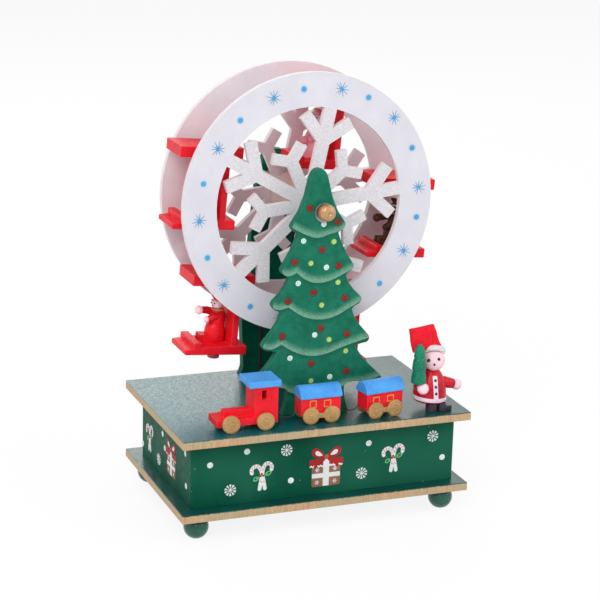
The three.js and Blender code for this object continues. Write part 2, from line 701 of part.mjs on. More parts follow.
// Music movement on the bottom plank: frame, comb, and pinned cylinder with the wheel that the worm turns
function makeMusic() {
  const plateTopZ = wallBottomZ + movementPlateThickness;
  const cylinderZ = crankZ - wormRadius - gap - wormWheelRadius;
  const wheelLeftX = crankX - wormWheelWidth / 2;
  const cylinderRightX = crankX - bearingHalfWidth - gap;
  const cylinderLeftX = cylinderRightX - cylinderLength;
  const leftCheekX = cylinderLeftX - gap - cheekThickness;
  const rightCheekX = crankX + bearingHalfWidth + gap;
  const rightEdgeX = rightCheekX + cheekThickness;
  const cheekTopZ = cylinderZ + cheekRise;
  const combZ = cylinderZ;
  const combTipY = cylinderY - cylinderRadius - gap;
  const combHeelY = combTipY - combToothLength;
  const plate = block([leftCheekX, rightEdgeX], [movementFrontY, movementBackY], [wallBottomZ, plateTopZ]);
  const cheekY = [cylinderY - cheekDepth / 2, cylinderY + cheekDepth / 2];
  const cheeks = [leftCheekX, rightCheekX].map((x) => block(
    [x, x + cheekThickness], cheekY, [plateTopZ - weld, cheekTopZ],
  ));
  const combSeat = block(
    [cylinderLeftX, cylinderRightX], [combHeelY - combHeelLength, combHeelY], [plateTopZ - weld, combZ],
  );
  const bearing = block(
    [crankX - bearingHalfWidth, crankX + bearingHalfWidth],
    [movementFrontY, movementFrontY + bearingThickness],
    [plateTopZ - weld, crankZ + bearingRise],
  );
  const arborY = [leftCheekX - overrun, rightEdgeX + overrun];
  const arborBore = rodAlongX(arborRadius + gap, ...arborY).translate(0, cylinderY, cylinderZ);
  const bearingBoreY = [movementFrontY - overrun, movementFrontY + bearingThickness + overrun];
  const shaftBore = rodAlongY(crankShaftRadius + gap, ...bearingBoreY);
  const frame = joined(plate, ...cheeks, combSeat, bearing);
  addPart(toy, 'music_frame', cut(frame, arborBore, shaftBore.translate(crankX, 0, crankZ)), brass);

  const comb = block(
    [cylinderLeftX, cylinderRightX], [combHeelY - combHeelLength, combTipY], [combZ, combZ + combThickness],
  );
  const toothPitch = cylinderLength / combToothCount;
  const slots = Array.from({ length: combToothCount - 1 }, (_, i) => {
    const middle = cylinderLeftX + (i + 1) * toothPitch;
    const half = toothPitch * combSlotShare / 2;
    const slotZ = [combZ - overrun, combZ + overrun];
    return block([middle - half, middle + half], [combHeelY, combTipY + overrun], slotZ);
  });
  addPart(toy, 'music_comb', cut(comb, ...slots), steel);

  const toothShape = new THREE.Shape();
  for (let step = 0; step < wheelToothCount * 2; step += 1) {
    const radius = step % 2 ? wormWheelRootRadius : wormWheelRadius;
    const angle = (step + 1 / 2) * Math.PI / wheelToothCount;
    const place = [radius * Math.cos(angle), radius * Math.sin(angle)];
    if (step === 0) {
      toothShape.moveTo(...place);
    } else {
      toothShape.lineTo(...place);
    }
  }
  const toothed = new THREE.ExtrudeGeometry(toothShape, { depth: wormWheelWidth, bevelEnabled: false });
  toothed.rotateY(Math.PI / 2).translate(wheelLeftX, 0, 0);
  const drum = rodAlongX(cylinderRadius, cylinderLeftX, cylinderRightX, roundly);
  const arbor = rodAlongX(arborRadius, leftCheekX, rightEdgeX);
  const cylinder = addPart(toy, 'music_cylinder', joined(drum, arbor, toothed), brass);
  cylinder.position.set(0, cylinderY, cylinderZ);
}

// Gondolas: each group has its pin as the Y axis
const riderHeadReachShare = 0.75; // how far the head's ball runs each way from its middle
const riderProfileShares = [[1, 0], [1, 0.3], [0.78, 0.62], [0.6, 0.82]]; // robe's radii and heights

function riderGeometry(handReach, handDrop) {
  const headReach = riderHeadRadius * riderHeadReachShare;
  const headZ = riderBodyHeight + headReach;
  const handZ = headZ - handDrop;
  const figure = turnedAboutZ([
    [0, 0],
    ...riderProfileShares.map(([r, h]) => [riderBodyRadius * r, riderBodyHeight * h]),
    [riderNeckRadius, riderBodyHeight],
    ...ballProfile(riderHeadRadius, headZ, headZ - headReach + weld, headZ + headReach, 5),
    [0, riderHeight],
  ], coarsely);
  const arm = rodAlongX(riderArmRadius, -handReach, 0, sparsely).translate(0, 0, handZ);
  const hand = new THREE.SphereGeometry(riderHandRadius, sparsely, sparsely / 2);
  const feet = block([-riderFeetLength, 0], [-riderFeetWidth / 2, riderFeetWidth / 2], [0, riderFeetHeight]);
  return joined(figure, feet, arm, hand.translate(-handReach, 0, handZ));
}

function makeGondolas() {
  const riderPaints = [brown, pink, red, red, pink];
  pinPlaces().forEach(([x, z], i) => {
    const gondola = groupAt(toy, wheelX + x, wheelMiddleY, wheelZ + z);
    gondola.rotation.y = radians(gondolaLeans[i]);
    const name = `gondola_${i + 1}`;
    const depth = [-boardDepth / 2, boardDepth / 2];
    const roofLimits = [-roofDrop - roofThickness / 2, -roofDrop + roofThickness / 2];
    const roof = block([-boardLength / 2, boardLength / 2], depth, roofLimits);
    const pinHole = rodAlongY(pinRadius + gap, -boardDepth / 2 - overrun, boardDepth / 2 + overrun, sparsely);
    addPart(gondola, `${name}_roof`, cut(roof, pinHole), red);

    const floorLeft = floorShift - boardLength / 2;
    const floorZ = [-floorDrop - floorThickness, -floorDrop];
    const floor = block([floorLeft, floorLeft + boardLength], depth, floorZ);
    const backrest = block(
      [backrestFace, backrestFace + backrestThickness], depth, [-floorDrop - weld, roofLimits[0] - gap],
    );
    const lipLeft = floorLeft + lipInset;
    const lip = block([lipLeft, lipLeft + lipWidth], depth, [-floorDrop - weld, -floorDrop + lipHeight]);
    addPart(gondola, `${name}_seat`, joined(floor, backrest, lip), red);

    const figure = riderGeometry(riderHandReaches[i], riderHandDrops[i]);
    const rider = addPart(gondola, `${name}_rider`, figure, riderPaints[i]);
    rider.position.set(riderX, 0, -floorDrop + gap);
  });
}

// Train on the deck. Each vehicle's group has its middle at X = 0, its front at Y = 0 and the deck at Z = 0.
function wheelPair(radius, farRadius, depth) {
  const near = rodAlongY(radius, -trainWheelThickness, -gap, roundly);
  const far = rodAlongY(farRadius, depth + gap, depth + trainWheelThickness);
  far.translate(0, 0, farRadius - radius);
  const dowel = rodAlongY(trainDowelRadius, -weld - gap, depth + weld + gap, sparsely);
  return joined(near, far, dowel);
}

function makeLoco() {
  const loco = groupAt(toy, locoX, locoFrontY, deckZ);
  const chassisTop = locoChassisBottom + locoChassisThickness;
  const left = -locoLength / 2;
  const right = locoLength / 2;
  const cabLeft = right - cabLength;
  const middleY = locoDepth / 2;
  const chassis = block([left, right], [0, locoDepth], [locoChassisBottom, chassisTop]);
  const cab = block([cabLeft, right], [0, locoDepth], [chassisTop - weld, cabTop]);
  const boilerY = [middleY - boilerWidth / 2, middleY + boilerWidth / 2];
  const boilerZ = [chassisTop - weld, chassisTop + boilerHeight];
  const boiler = block([cabLeft - boilerLength, cabLeft + weld], boilerY, boilerZ);
  const windowMiddle = cabLeft + cabLength * cabWindowPlaceShare;
  const windowTop = cabTop - cabWindowTopGap;
  const cabWindow = block(
    [windowMiddle - cabWindowWidth / 2, windowMiddle + cabWindowWidth / 2],
    [-overrun, locoDepth + overrun],
    [windowTop - cabWindowHeight, windowTop],
  );
  const wheelPlaces = { front: locoWheelShift - locoWheelbase / 2, rear: locoWheelShift + locoWheelbase / 2 };
  const dowelHoles = Object.values(wheelPlaces).map((x) => rodAlongY(
    trainDowelRadius + gap, -overrun, locoDepth + overrun, sparsely,
  ).translate(x, 0, locoWheelRadius));
  addPart(loco, 'loco_body', cut(joined(chassis, cab, boiler), cabWindow, ...dowelHoles), red);

  const roofMiddle = (cabLeft + right) / 2 + locoRoofShift;
  addPart(loco, 'loco_roof', block(
    [roofMiddle - locoRoofLength / 2, roofMiddle + locoRoofLength / 2],
    [middleY - locoRoofDepth / 2, middleY + locoRoofDepth / 2],
    [cabTop, cabTop + locoRoofThickness],
  ), blue);
  for (const [place, x] of Object.entries(wheelPlaces)) {
    const wheels = wheelPair(locoWheelRadius, locoFarWheelRadius, locoDepth);
    const pair = addPart(loco, `loco_${place}_wheels`, wheels, goldWood);
    pair.position.set(x, 0, locoWheelRadius);
  }
}

const wagonRoofCurveShares = [[0.333, 0.833], [0.2, 1]]; // control points, in roof depths and heights

function wagonRoof() {
  const shape = new THREE.Shape();
  shape.moveTo(-wagonRoofDepth / 2, 0);
  shape.lineTo(wagonRoofDepth / 2, 0);
  shape.lineTo(wagonRoofDepth / 2, wagonRoofEave);
  const [outer, inner] = wagonRoofCurveShares.map(([y, z]) => [wagonRoofDepth * y, wagonRoofHeight * z]);
  shape.bezierCurveTo(...outer, ...inner, 0, wagonRoofHeight);
  shape.bezierCurveTo(-inner[0], inner[1], -outer[0], outer[1], -wagonRoofDepth / 2, wagonRoofEave);
  const roof = raised(shape, [0, wagonRoofLength], 5);
  return roof.rotateX(Math.PI / 2).rotateZ(Math.PI / 2).translate(-wagonRoofLength / 2, 0, 0);
}

function makeWagon(name, x, frontY, turn) {
  const wagon = groupAt(toy, x, frontY, deckZ);
  wagon.rotation.z = radians(turn);
  const body = block([-wagonLength / 2, wagonLength / 2], [0, wagonDepth], [wagonBottom, wagonTop]);
  const tieMiddle = trainWheelRadius;
  const dowelHole = rodAlongY(trainDowelRadius + gap, -overrun, wagonDepth + overrun, sparsely);
  addPart(wagon, `${name}_body`, cut(body, dowelHole.translate(0, 0, tieMiddle)), red);
  const roof = addPart(wagon, `${name}_roof`, wagonRoof(), blue);
  roof.position.set(0, wagonDepth / 2, wagonTop);

  const tieZ = [tieMiddle - wagonTieHeight / 2, tieMiddle + wagonTieHeight / 2];
  const plates = [[-wagonPlateThickness, -gap], [wagonDepth + gap, wagonDepth + wagonPlateThickness]];
  const shapes = plates.flatMap(([y0, y1]) => [
    rodAlongY(trainWheelRadius, y0, y1, roundly).translate(-wagonWheelbase / 2, 0, trainWheelRadius),
    rodAlongY(trainWheelRadius, y0, y1, roundly).translate(wagonWheelbase / 2, 0, trainWheelRadius),
    block([-wagonWheelbase / 2, wagonWheelbase / 2], [y0, y1], tieZ),
  ]);
  const dowel = rodAlongY(trainDowelRadius, -weld - gap, wagonDepth + weld + gap, sparsely);
  shapes.push(dowel.translate(0, 0, tieMiddle));
  addPart(wagon, `${name}_wheels`, joined(...shapes), goldWood);
}

// Doll: turned body with boots, arms and a small spruce in one hand, and a head with a folded felt hat
const dollBodyShares = [[0.97, 0], [1, 0.08], [0.97, 0.3], [0.86, 0.6], [0.64, 0.88]]; // radii and heights
const dollShoulderShare = 0.66; // height of the shoulders on the body
const dollSpruceShares = [[0.98, 0], [1, 0.2], [0.92, 0.45], [0.74, 0.7], [0.5, 0.9], [0.24, 0.98]];
const hatOutlineShares = [[0.138, 0], [0.9, -0.05], [1, 0.174], [0.867, 0.552], [0.71, 1], [0, 0.9]];

function boot(x0, x1) {
  const y0 = bootFrontY;
  const y1 = bootFrontY + bootDepth;
  const shape = new THREE.Shape();
  shape.moveTo(x1, y1);
  shape.lineTo(x0, y1);
  shape.absarc(x0 + bootCornerRadius, y0 + bootCornerRadius, bootCornerRadius, Math.PI, Math.PI * 3 / 2);
  shape.absarc(x1 - bootCornerRadius, y0 + bootCornerRadius, bootCornerRadius, Math.PI * 3 / 2, Math.PI * 2);
  return raised(shape, [0, bootHeight]);
}

// A round limb between two points
function limb(radius, from, to) {
  const start = new THREE.Vector3(...from);
  const run = new THREE.Vector3(...to).sub(start);
  const turn = new THREE.Quaternion().setFromUnitVectors(new THREE.Vector3(0, 1, 0), run.clone().normalize());
  const geometry = rodAlongY(radius, 0, run.length(), sparsely);
  return geometry.applyQuaternion(turn).translate(...from);
}

function makeDoll() {
  const doll = groupAt(toy, dollX, dollY, deckZ);
  const neckZ = dollBodyBottom + dollBodyHeight;
  const robe = turnedAboutZ([
    [0, dollBodyBottom],
    ...dollBodyShares.map(([r, h]) => [dollBodyRadius * r, dollBodyBottom + dollBodyHeight * h]),
    [dollNeckRadius, neckZ],
    [0, neckZ],
  ]).rotateY(radians(dollLean));
  const boots = [boot(-bootLeftLength, -bootGap / 2), boot(bootGap / 2, bootRightLength)];
  const ball = new THREE.SphereGeometry(dollHandRadius, sparsely, sparsely / 2);
  const hand = (place) => ball.clone().translate(...place);
  const shoulderZ = dollBodyBottom + dollBodyHeight * dollShoulderShare;
  const rightHand = [dollRightReach, 0, dollRightHandZ];
  const leftHand = [dollLeftHandX, dollLeftHandY, dollLeftHandZ];
  const spruce = turnedAboutZ([
    [0, 0],
    ...dollSpruceShares.map(([r, h]) => [dollSpruceRadius * r, dollSpruceHeight * h]),
    [0, dollSpruceHeight],
  ], coarsely).translate(dollSpruceX, dollSpruceY, dollSpruceZ);
  addPart(doll, 'doll_body', joined(
    robe,
    ...boots,
    limb(dollArmRadius, [0, 0, shoulderZ], rightHand),
    hand(rightHand),
    limb(dollArmRadius, [-dollBodyRadius / 2, 0, shoulderZ], leftHand),
    hand(leftHand),
    spruce,
  ), red);

  const headZ = neckZ + dollHeadSeat;
  const headBottom = neckZ + gap;
  const headTop = headZ + dollHeadRadius - gap;
  const head = turnedAboutZ([
    [0, headBottom],
    ...ballProfile(dollHeadRadius, headZ, headBottom, headTop, 8),
    [0, headTop],
  ]);
  const band = rodAlongZ(hatBandRadius, -hatBandHeight / 2, hatBandHeight / 2, roundly);
  band.rotateY(radians(hatBandTilt)).translate(0, 0, headZ + hatBandRise);
  const hatShape = new THREE.Shape(hatOutlineShares.map(([x, z]) => new THREE.Vector2(
    hatWidth * x - hatReach, headZ + hatRise + hatHeight * z,
  )));
  const hat = board(hatShape, -hatThickness / 2, hatThickness);
  const dressedHead = addPart(doll, 'doll_head', joined(head, band, hat), skin);
  dressedHead.position.x = dollHeadX;
}

makeBox();
makeTree();
makePost();
makeWheel();
makeBelt();
makeCrank();
makeMusic();
makeGondolas();
makeLoco();
makeWagon('wagon_1', wagon1X, wagon1FrontY, wagon1Turn);
makeWagon('wagon_2', wagon2X, wagon2FrontY, wagon2Turn);
makeDoll();

// The footprint's middle becomes the origin
const limits = new THREE.Box3().setFromObject(toy);
toy.position.x -= (limits.min.x + limits.max.x) / 2;
toy.position.y -= (limits.min.y + limits.max.y) / 2;
toy.updateMatrixWorld(true);

export default toy;
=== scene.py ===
"""Looks for the hand-cranked wooden Ferris wheel toy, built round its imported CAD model.

Lengths are millimetres in the row frame, and turn into metres where a mesh, lamp or camera is made.
"""

import math
import random

import bmesh
import bpy
from mathutils import Matrix, Vector


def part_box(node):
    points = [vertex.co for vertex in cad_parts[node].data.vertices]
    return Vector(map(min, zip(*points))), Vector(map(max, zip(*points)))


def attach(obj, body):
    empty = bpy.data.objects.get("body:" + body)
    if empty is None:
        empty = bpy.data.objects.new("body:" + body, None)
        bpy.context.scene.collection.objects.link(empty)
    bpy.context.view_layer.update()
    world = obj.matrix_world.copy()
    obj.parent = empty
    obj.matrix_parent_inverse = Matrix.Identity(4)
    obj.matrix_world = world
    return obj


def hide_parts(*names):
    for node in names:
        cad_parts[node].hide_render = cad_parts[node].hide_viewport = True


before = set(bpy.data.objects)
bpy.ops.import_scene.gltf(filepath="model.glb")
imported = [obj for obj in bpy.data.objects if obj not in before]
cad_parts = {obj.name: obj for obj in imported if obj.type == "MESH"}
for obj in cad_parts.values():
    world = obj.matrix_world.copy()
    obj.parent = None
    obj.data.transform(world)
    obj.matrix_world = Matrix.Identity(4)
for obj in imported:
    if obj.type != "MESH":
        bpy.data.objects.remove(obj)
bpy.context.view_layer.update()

MM = 0.001
WELD_REACH = 1e-5  # metres
SMOOTH_LIMIT = math.radians(48)
BEVEL_LIMIT = math.radians(40)
FLAT_LIMIT = math.radians(0.6)
PROUD = 0.12  # how far painted marks stand out
SUNK = 0.15  # how far they reach into what carries them

# Where things are
WHEEL_X, WHEEL_Z = 1.7, 185.0
WHEEL_MIDDLE_Y = 1.15
DECK_Z = 63.3
LOW_PLANK_TOP = 18.5
PLANK_HALF_X, PLANK_HALF_Y = 90.0, 58.25
PLANK_MIDDLE_Y = -11.15
RING_INNER_RADIUS = 57.6
PIN_CIRCLE_RADIUS = 66
FIRST_ARM_ANGLE = 6.4
GONDOLA_COUNT = 5
GONDOLAS = [f"gondola_{i + 1}" for i in range(GONDOLA_COUNT)]
GONDOLA_LEANS = [4.5, 4.5, 4.5, 4.5, 1.5]
FLOOR_DROP = 40.8
FLOOR_THICKNESS = 5.7
FLOOR_SHIFT = -1.3


def low(node):
    """A CAD node's lowest corner, in millimetres."""
    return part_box(node)[0] / MM


def high(node):
    """A CAD node's highest corner, in millimetres."""
    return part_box(node)[1] / MM


def at(x, y, z):
    return Matrix.Translation((x, y, z))


def turned(axis, degrees):
    return Matrix.Rotation(math.radians(degrees), 4, axis)


ABOUT_Y = turned("X", -90)


def front_plane(y, x=0.0, z=0.0):
    """Places (u, v, w) as (x + u, y - w, z + v): w stands out towards the front."""
    return Matrix(((1, 0, 0, x), (0, 0, -1, y), (0, 1, 0, z), (0, 0, 0, 1)))


def left_plane(x, y=0.0, z=0.0):
    """Places (u, v, w) as (x - w, y - u, z + v): w stands out towards -X."""
    return Matrix(((0, 0, -1, x), (-1, 0, 0, y), (0, 1, 0, z), (0, 0, 0, 1)))


# Outlines: flat (u, v) points in millimetres
def polar(radius, angle):
    return radius * math.cos(angle), radius * math.sin(angle)


def circle_angles(sides):
    return [2 * math.pi * i / sides for i in range(sides)]


def round_outline(radius, u=0.0, v=0.0, sides=28):
    return [(u + radius * math.cos(a), v + radius * math.sin(a)) for a in circle_angles(sides)]


def box_outline(u0, v0, u1, v1, corner=0.0, steps=4):
    """A rectangle with rounded corners."""
    if corner <= 0:
        return [(u0, v0), (u1, v0), (u1, v1), (u0, v1)]
    middles = [(u1 - corner, v0 + corner), (u1 - corner, v1 - corner), (u0 + corner, v1 - corner),
               (u0 + corner, v0 + corner)]
    outline = []
    for quarter, (u, v) in enumerate(middles):
        for step in range(steps + 1):
            du, dv = polar(corner, math.pi / 2 * (quarter - 1 + step / steps))
            outline.append((u + du, v + dv))
    return outline


def drawn_in(outline, share):
    """The outline, scaled about its middle."""
    u0, v0 = (sum(values) / len(outline) for values in zip(*outline))
    return [(u0 + (u - u0) * share, v0 + (v - v0) * share) for u, v in outline]


def smooth_path(points, steps=6):
    """A rounder path through points."""
    ends = [points[0], *points, points[-1]]
    path = []
    for spots in zip(ends, ends[1:], ends[2:], ends[3:]):
        for step in range(steps):
            t = step / steps
            path.append(tuple(
                0.5 * (2 * q + (r - p) * t + (2 * p - 5 * q + 4 * r - s) * t * t
                       + (3 * q - p - 3 * r + s) * t ** 3)
                for p, q, r, s in zip(*spots)
            ))
    return path + [tuple(points[-1])]


def run_at(path, i):
    """The path's direction at a point."""
    before, after = path[max(i - 1, 0)], path[min(i + 1, len(path) - 1)]
    du, dv = after[0] - before[0], after[1] - before[1]
    run = math.hypot(du, dv) or 1.0
    return du / run, dv / run


def stroke_outline(path, width, taper=(1.0, 1.0), cap=5):
    """A brush stroke's outline along a flat path, with round ends."""
    left, right = [], []
    for i, (u, v) in enumerate(path):
        du, dv = run_at(path, i)
        half = width * (taper[0] + (taper[1] - taper[0]) * i / (len(path) - 1)) / 2
        left.append((u - dv * half, v + du * half))
        right.append((u + dv * half, v - du * half))

    def end_cap(start, middle):
        du, dv = start[0] - middle[0], start[1] - middle[1]
        first, radius = math.atan2(dv, du), math.hypot(du, dv)
        reaches = [polar(radius, first - math.pi * k / cap) for k in range(1, cap)]
        return [(middle[0] + u, middle[1] + v) for u, v in reaches]

    return left + end_cap(left[-1], path[-1]) + right[::-1] + end_cap(right[0], path[0])


class Shells:
    """Closed shells gathered for one mesh, each with a tone that its material can read."""

    def __init__(self):
        self.points, self.faces, self.tones = [], [], []

    def wrap(self, loops, place=None, tone=0.0, capped=False, closed=False):
        """The skin over a row of loops of points. A loop of one point is a tip."""
        place = place or Matrix()
        start = len(self.points)
        rows = []
        for loop in loops:
            rows.append([len(self.points) + i for i in range(len(loop))])
            self.points += [place @ Vector(point) for point in loop]
        self.tones += [tone] * (len(self.points) - start)
        if capped:
            self.faces += [rows[0][::-1], rows[-1]]
        if closed:
            rows.append(rows[0])
        sides = max(len(row) for row in rows)
        for lower, upper in zip(rows, rows[1:]):
            for i in range(sides):
                j = (i + 1) % sides
                corners = (lower[i % len(lower)], lower[j % len(lower)],
                           upper[j % len(upper)], upper[i % len(upper)])
                face = list(dict.fromkeys(corners))
                if len(face) > 2:
                    self.faces.append(face)
        return self

    def prism(self, outline, w0, w1, place=None):
        """A flat outline, from depth w0 to w1."""
        return self.wrap([[(u, v, w) for u, v in outline] for w in (w0, w1)], place, capped=True)

    def hoop(self, outer, inner, w0, w1, place=None, tone=0.0):
        """The band between two outlines that have as many points as each other."""
        corners = ((outer, w0), (outer, w1), (inner, w1), (inner, w0))
        return self.wrap([[(u, v, w) for u, v in loop] for loop, w in corners], place, tone, closed=True)

    def dome(self, outline, w0, w1, place=None, share=0.72):
        """A flat outline with a rounded rim, for a drop of paint."""
        levels = ((outline, w0), (outline, w0 + (w1 - w0) * 0.45), (drawn_in(outline, share), w1))
        return self.wrap([[(u, v, w) for u, v in loop] for loop, w in levels], place, capped=True)

    def mark(self, outline, lift, place):
        """A painted mark, as many times PROUD high as lift says."""
        return self.prism(outline, -SUNK, PROUD * lift, place)

    def drop(self, outline, lift, place):
        return self.dome(outline, -SUNK, PROUD * lift, place)

    def lathe(self, profile, place=None, sides=48):
        """A turned solid about Z from (radius, height) pairs. A pair with no radius is a tip."""
        closed = profile[0] == profile[-1]
        loops = []
        for radius, height in profile[:-1] if closed else profile:
            angles = circle_angles(sides) if radius else [0.0]
            loops.append([(*polar(radius, angle), height) for angle in angles])
        return self.wrap(loops, place, closed=closed)

    def ball(self, centre, radius, place=None, sides=28, squash=1.0):
        steps = sides // 2
        profile = [(0.0, -radius * squash)]
        for i in range(1, steps):
            across, up = polar(radius, -math.pi / 2 + math.pi * i / steps)
            profile.append((across, up * squash))
        profile.append((0.0, radius * squash))
        return self.lathe(profile, (place or Matrix()) @ at(*centre), sides)

    def rod(self, radius, length, place):
        return self.lathe([(0.0, 0.0), (radius, 0.0), (radius, length), (0.0, length)], place, 16)

    def tube(self, path, radii, place=None, sides=16):
        """A round rod along a path, with a radius at each point. Its ends close to rounded tips."""
        path = [Vector(p) for p in path]
        last = len(path) - 1
        radii = radii if isinstance(radii, list) else [radii] * len(path)
        runs = [(path[min(i + 1, last)] - path[max(i - 1, 0)]).normalized() for i in range(last + 1)]
        side = runs[0].orthogonal().normalized()
        rings = []
        for spot, run, radius in zip(path, runs, radii):
            side = (side - run * side.dot(run)).normalized()
            rings.append((spot, side.copy(), run.cross(side), radius, run))
        loops = [[path[0] - runs[0] * radii[0] * 0.5]]
        stack = [(rings[0], -0.36, 0.72)] + [(ring, 0.0, 1.0) for ring in rings] + [(rings[-1], 0.36, 0.72)]
        for (spot, across, up, radius, run), ahead, share in stack:
            loops.append([
                spot + run * radius * ahead + (across * math.cos(a) + up * math.sin(a)) * radius * share
                for a in circle_angles(sides)
            ])
        loops.append([path[-1] + runs[-1] * radii[-1] * 0.5])
        return self.wrap(loops, place)


# Surfaces
def add_node(tree, kind, values=None, **settings):
    made = tree.nodes.new(kind)
    for name, value in settings.items():
        setattr(made, name, value)
    for name, value in (values or {}).items():
        made.inputs[name].default_value = value
    return made


def smooth_group():
    """Smooth shading below the limit's angle, shared by every piece."""
    group = bpy.data.node_groups.new("smooth_below_limit", "GeometryNodeTree")
    for way in ("INPUT", "OUTPUT"):
        group.interface.new_socket("Geometry", in_out=way, socket_type="NodeSocketGeometry")
    start = add_node(group, "NodeGroupInput")
    end = add_node(group, "NodeGroupOutput")
    whole = add_node(group, "GeometryNodeSetShadeSmooth", domain="FACE")
    angle = add_node(group, "GeometryNodeInputMeshEdgeAngle")
    below = add_node(group, "FunctionNodeCompare", data_type="FLOAT", operation="LESS_THAN")
    below.inputs["B"].default_value = SMOOTH_LIMIT
    edges = add_node(group, "GeometryNodeSetShadeSmooth", domain="EDGE")
    group.links.new(start.outputs[0], whole.inputs["Geometry"])
    group.links.new(angle.outputs["Unsigned Angle"], below.inputs["A"])
    group.links.new(whole.outputs[0], edges.inputs["Geometry"])
    group.links.new(below.outputs[0], edges.inputs["Shade Smooth"])
    group.links.new(edges.outputs[0], end.inputs[0])
    return group


SMOOTH = smooth_group()


def modify(obj, name, kind, **settings):
    made = obj.modifiers.new(name, kind)
    for setting, value in settings.items():
        setattr(made, setting, value)


def finish_surface(obj, bevel, segments):
    if bevel:
        modify(obj, "rounding", "BEVEL", width=bevel * MM, segments=segments, limit_method="ANGLE",
               angle_limit=BEVEL_LIMIT)
    modify(obj, "smoothing", "NODES", node_group=SMOOTH)
    modify(obj, "weighting", "WEIGHTED_NORMAL", keep_sharp=True)


def piece(name, body, finish, shells, bevel=0.0, segments=2, stands_for=(), subdivide=0):
    """Makes one visual piece from its shells and puts it on a body."""
    mesh = bpy.data.meshes.new(name)
    mesh.from_pydata([point * MM for point in shells.points], [], shells.faces)
    tone = mesh.attributes.new("tone", "FLOAT", "POINT")
    tone.data.foreach_set("value", shells.tones)
    working = bmesh.new()
    working.from_mesh(mesh)
    bmesh.ops.recalc_face_normals(working, faces=working.faces)
    working.to_mesh(mesh)
    working.free()
    obj = bpy.data.objects.new(name, mesh)
    bpy.context.scene.collection.objects.link(obj)
    mesh.materials.append(look[finish])
    if subdivide:
        modify(obj, "finer", "SUBSURF", levels=subdivide, render_levels=subdivide)
    finish_surface(obj, bevel, segments)
    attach(obj, body)
    if stands_for:
        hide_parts(*stands_for)


# CAD nodes that stay: nodes, finish, bevel and the bevel's segments
DRESSED = [
    (["bottom_plank", "top_plank"], "plank", 0.35, 2),
    (["front_wall", "back_wall", "left_wall", "right_wall"], "box_green", 0.2, 2),
    (["front_tree"], "tree", 0.9, 3),
    (["rear_post"], "post_green", 0.6, 3),
    (["front_disc"], "front_disc", 0.45, 2),
    (["rear_disc"], "rear_disc", 0.45, 2),
    (["wheel_hub"], "hub", 0.5, 2),
    (["axle", "axle_washer"] + [f"{gondola}_pin" for gondola in GONDOLAS], "steel", 0.15, 2),
    (["axle_pulley", "crank_pulley"], "gold", 0.3, 2),
    (["drive_belt"], "rubber", 0.25, 2),
    (["crank_shaft"], "steel", 0.12, 2),
    (["crank_arm"], "steel", 0.35, 2),
    (["music_frame", "music_cylinder"], "brass", 0.2, 2),
    (["music_comb"], "steel", 0.1, 2),
    ([f"{gondola}_roof" for gondola in GONDOLAS], "red", 1.7, 5),
    (["loco_body", "wagon_1_body", "wagon_2_body"], "train_red", 0.4, 2),
    (["loco_roof"], "blue", 0.45, 2),
    (["wagon_1_roof", "wagon_2_roof"], "blue", 0.4, 2),
]
MANY_OPENINGS = ("front_disc", "rear_disc")  # merging their flat faces would fill a notch


def dress(name, finish, bevel, segments):
    """Gives a CAD node rounded edges, smooth shading and a material. Its mesh stays as it is."""
    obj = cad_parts[name]
    obj.data.materials.clear()
    obj.data.materials.append(look[finish])
    if "custom_normal" in obj.data.attributes:
        obj.data.attributes.remove(obj.data.attributes["custom_normal"])
    modify(obj, "weld", "WELD", merge_threshold=WELD_REACH)
    if name not in MANY_OPENINGS:
        modify(obj, "flat", "DECIMATE", decimate_type="DISSOLVE", angle_limit=FLAT_LIMIT)
    finish_surface(obj, bevel, segments)


# Materials. Colours are written from 0 to 255
def colour(*written):
    """A written colour as the linear one that a shader takes."""
    shares = [value / 255 for value in written]
    return (*(s / 12.92 if s <= 0.04045 else ((s + 0.055) / 1.055) ** 2.4 for s in shares), 1.0)


class Value:
    """A shader value that takes plain arithmetic."""

    def __init__(self, paint, socket):
        self.paint, self.socket = paint, socket

    def __add__(self, other):
        return self.paint.math("ADD", self, other)

    def __sub__(self, other):
        return self.paint.math("SUBTRACT", self, other)

    def __rsub__(self, other):
        return self.paint.math("SUBTRACT", other, self)

    def __mul__(self, other):
        return self.paint.math("MULTIPLY", self, other)

    def __abs__(self):
        return self.paint.math("ABSOLUTE", self)

    def between(self, *limits, smooth=False):
        """Start and stop, and what they become if not 0 and 1."""
        made = self.paint.node("ShaderNodeMapRange", clamp=True)
        if smooth:
            made.interpolation_type = "SMOOTHSTEP"
        self.paint.put(self, made.inputs[0])
        for i, limit in enumerate(limits if len(limits) > 2 else (*limits, 0.0, 1.0)):
            made.inputs[i + 1].default_value = limit
        return Value(self.paint, made.outputs[0])


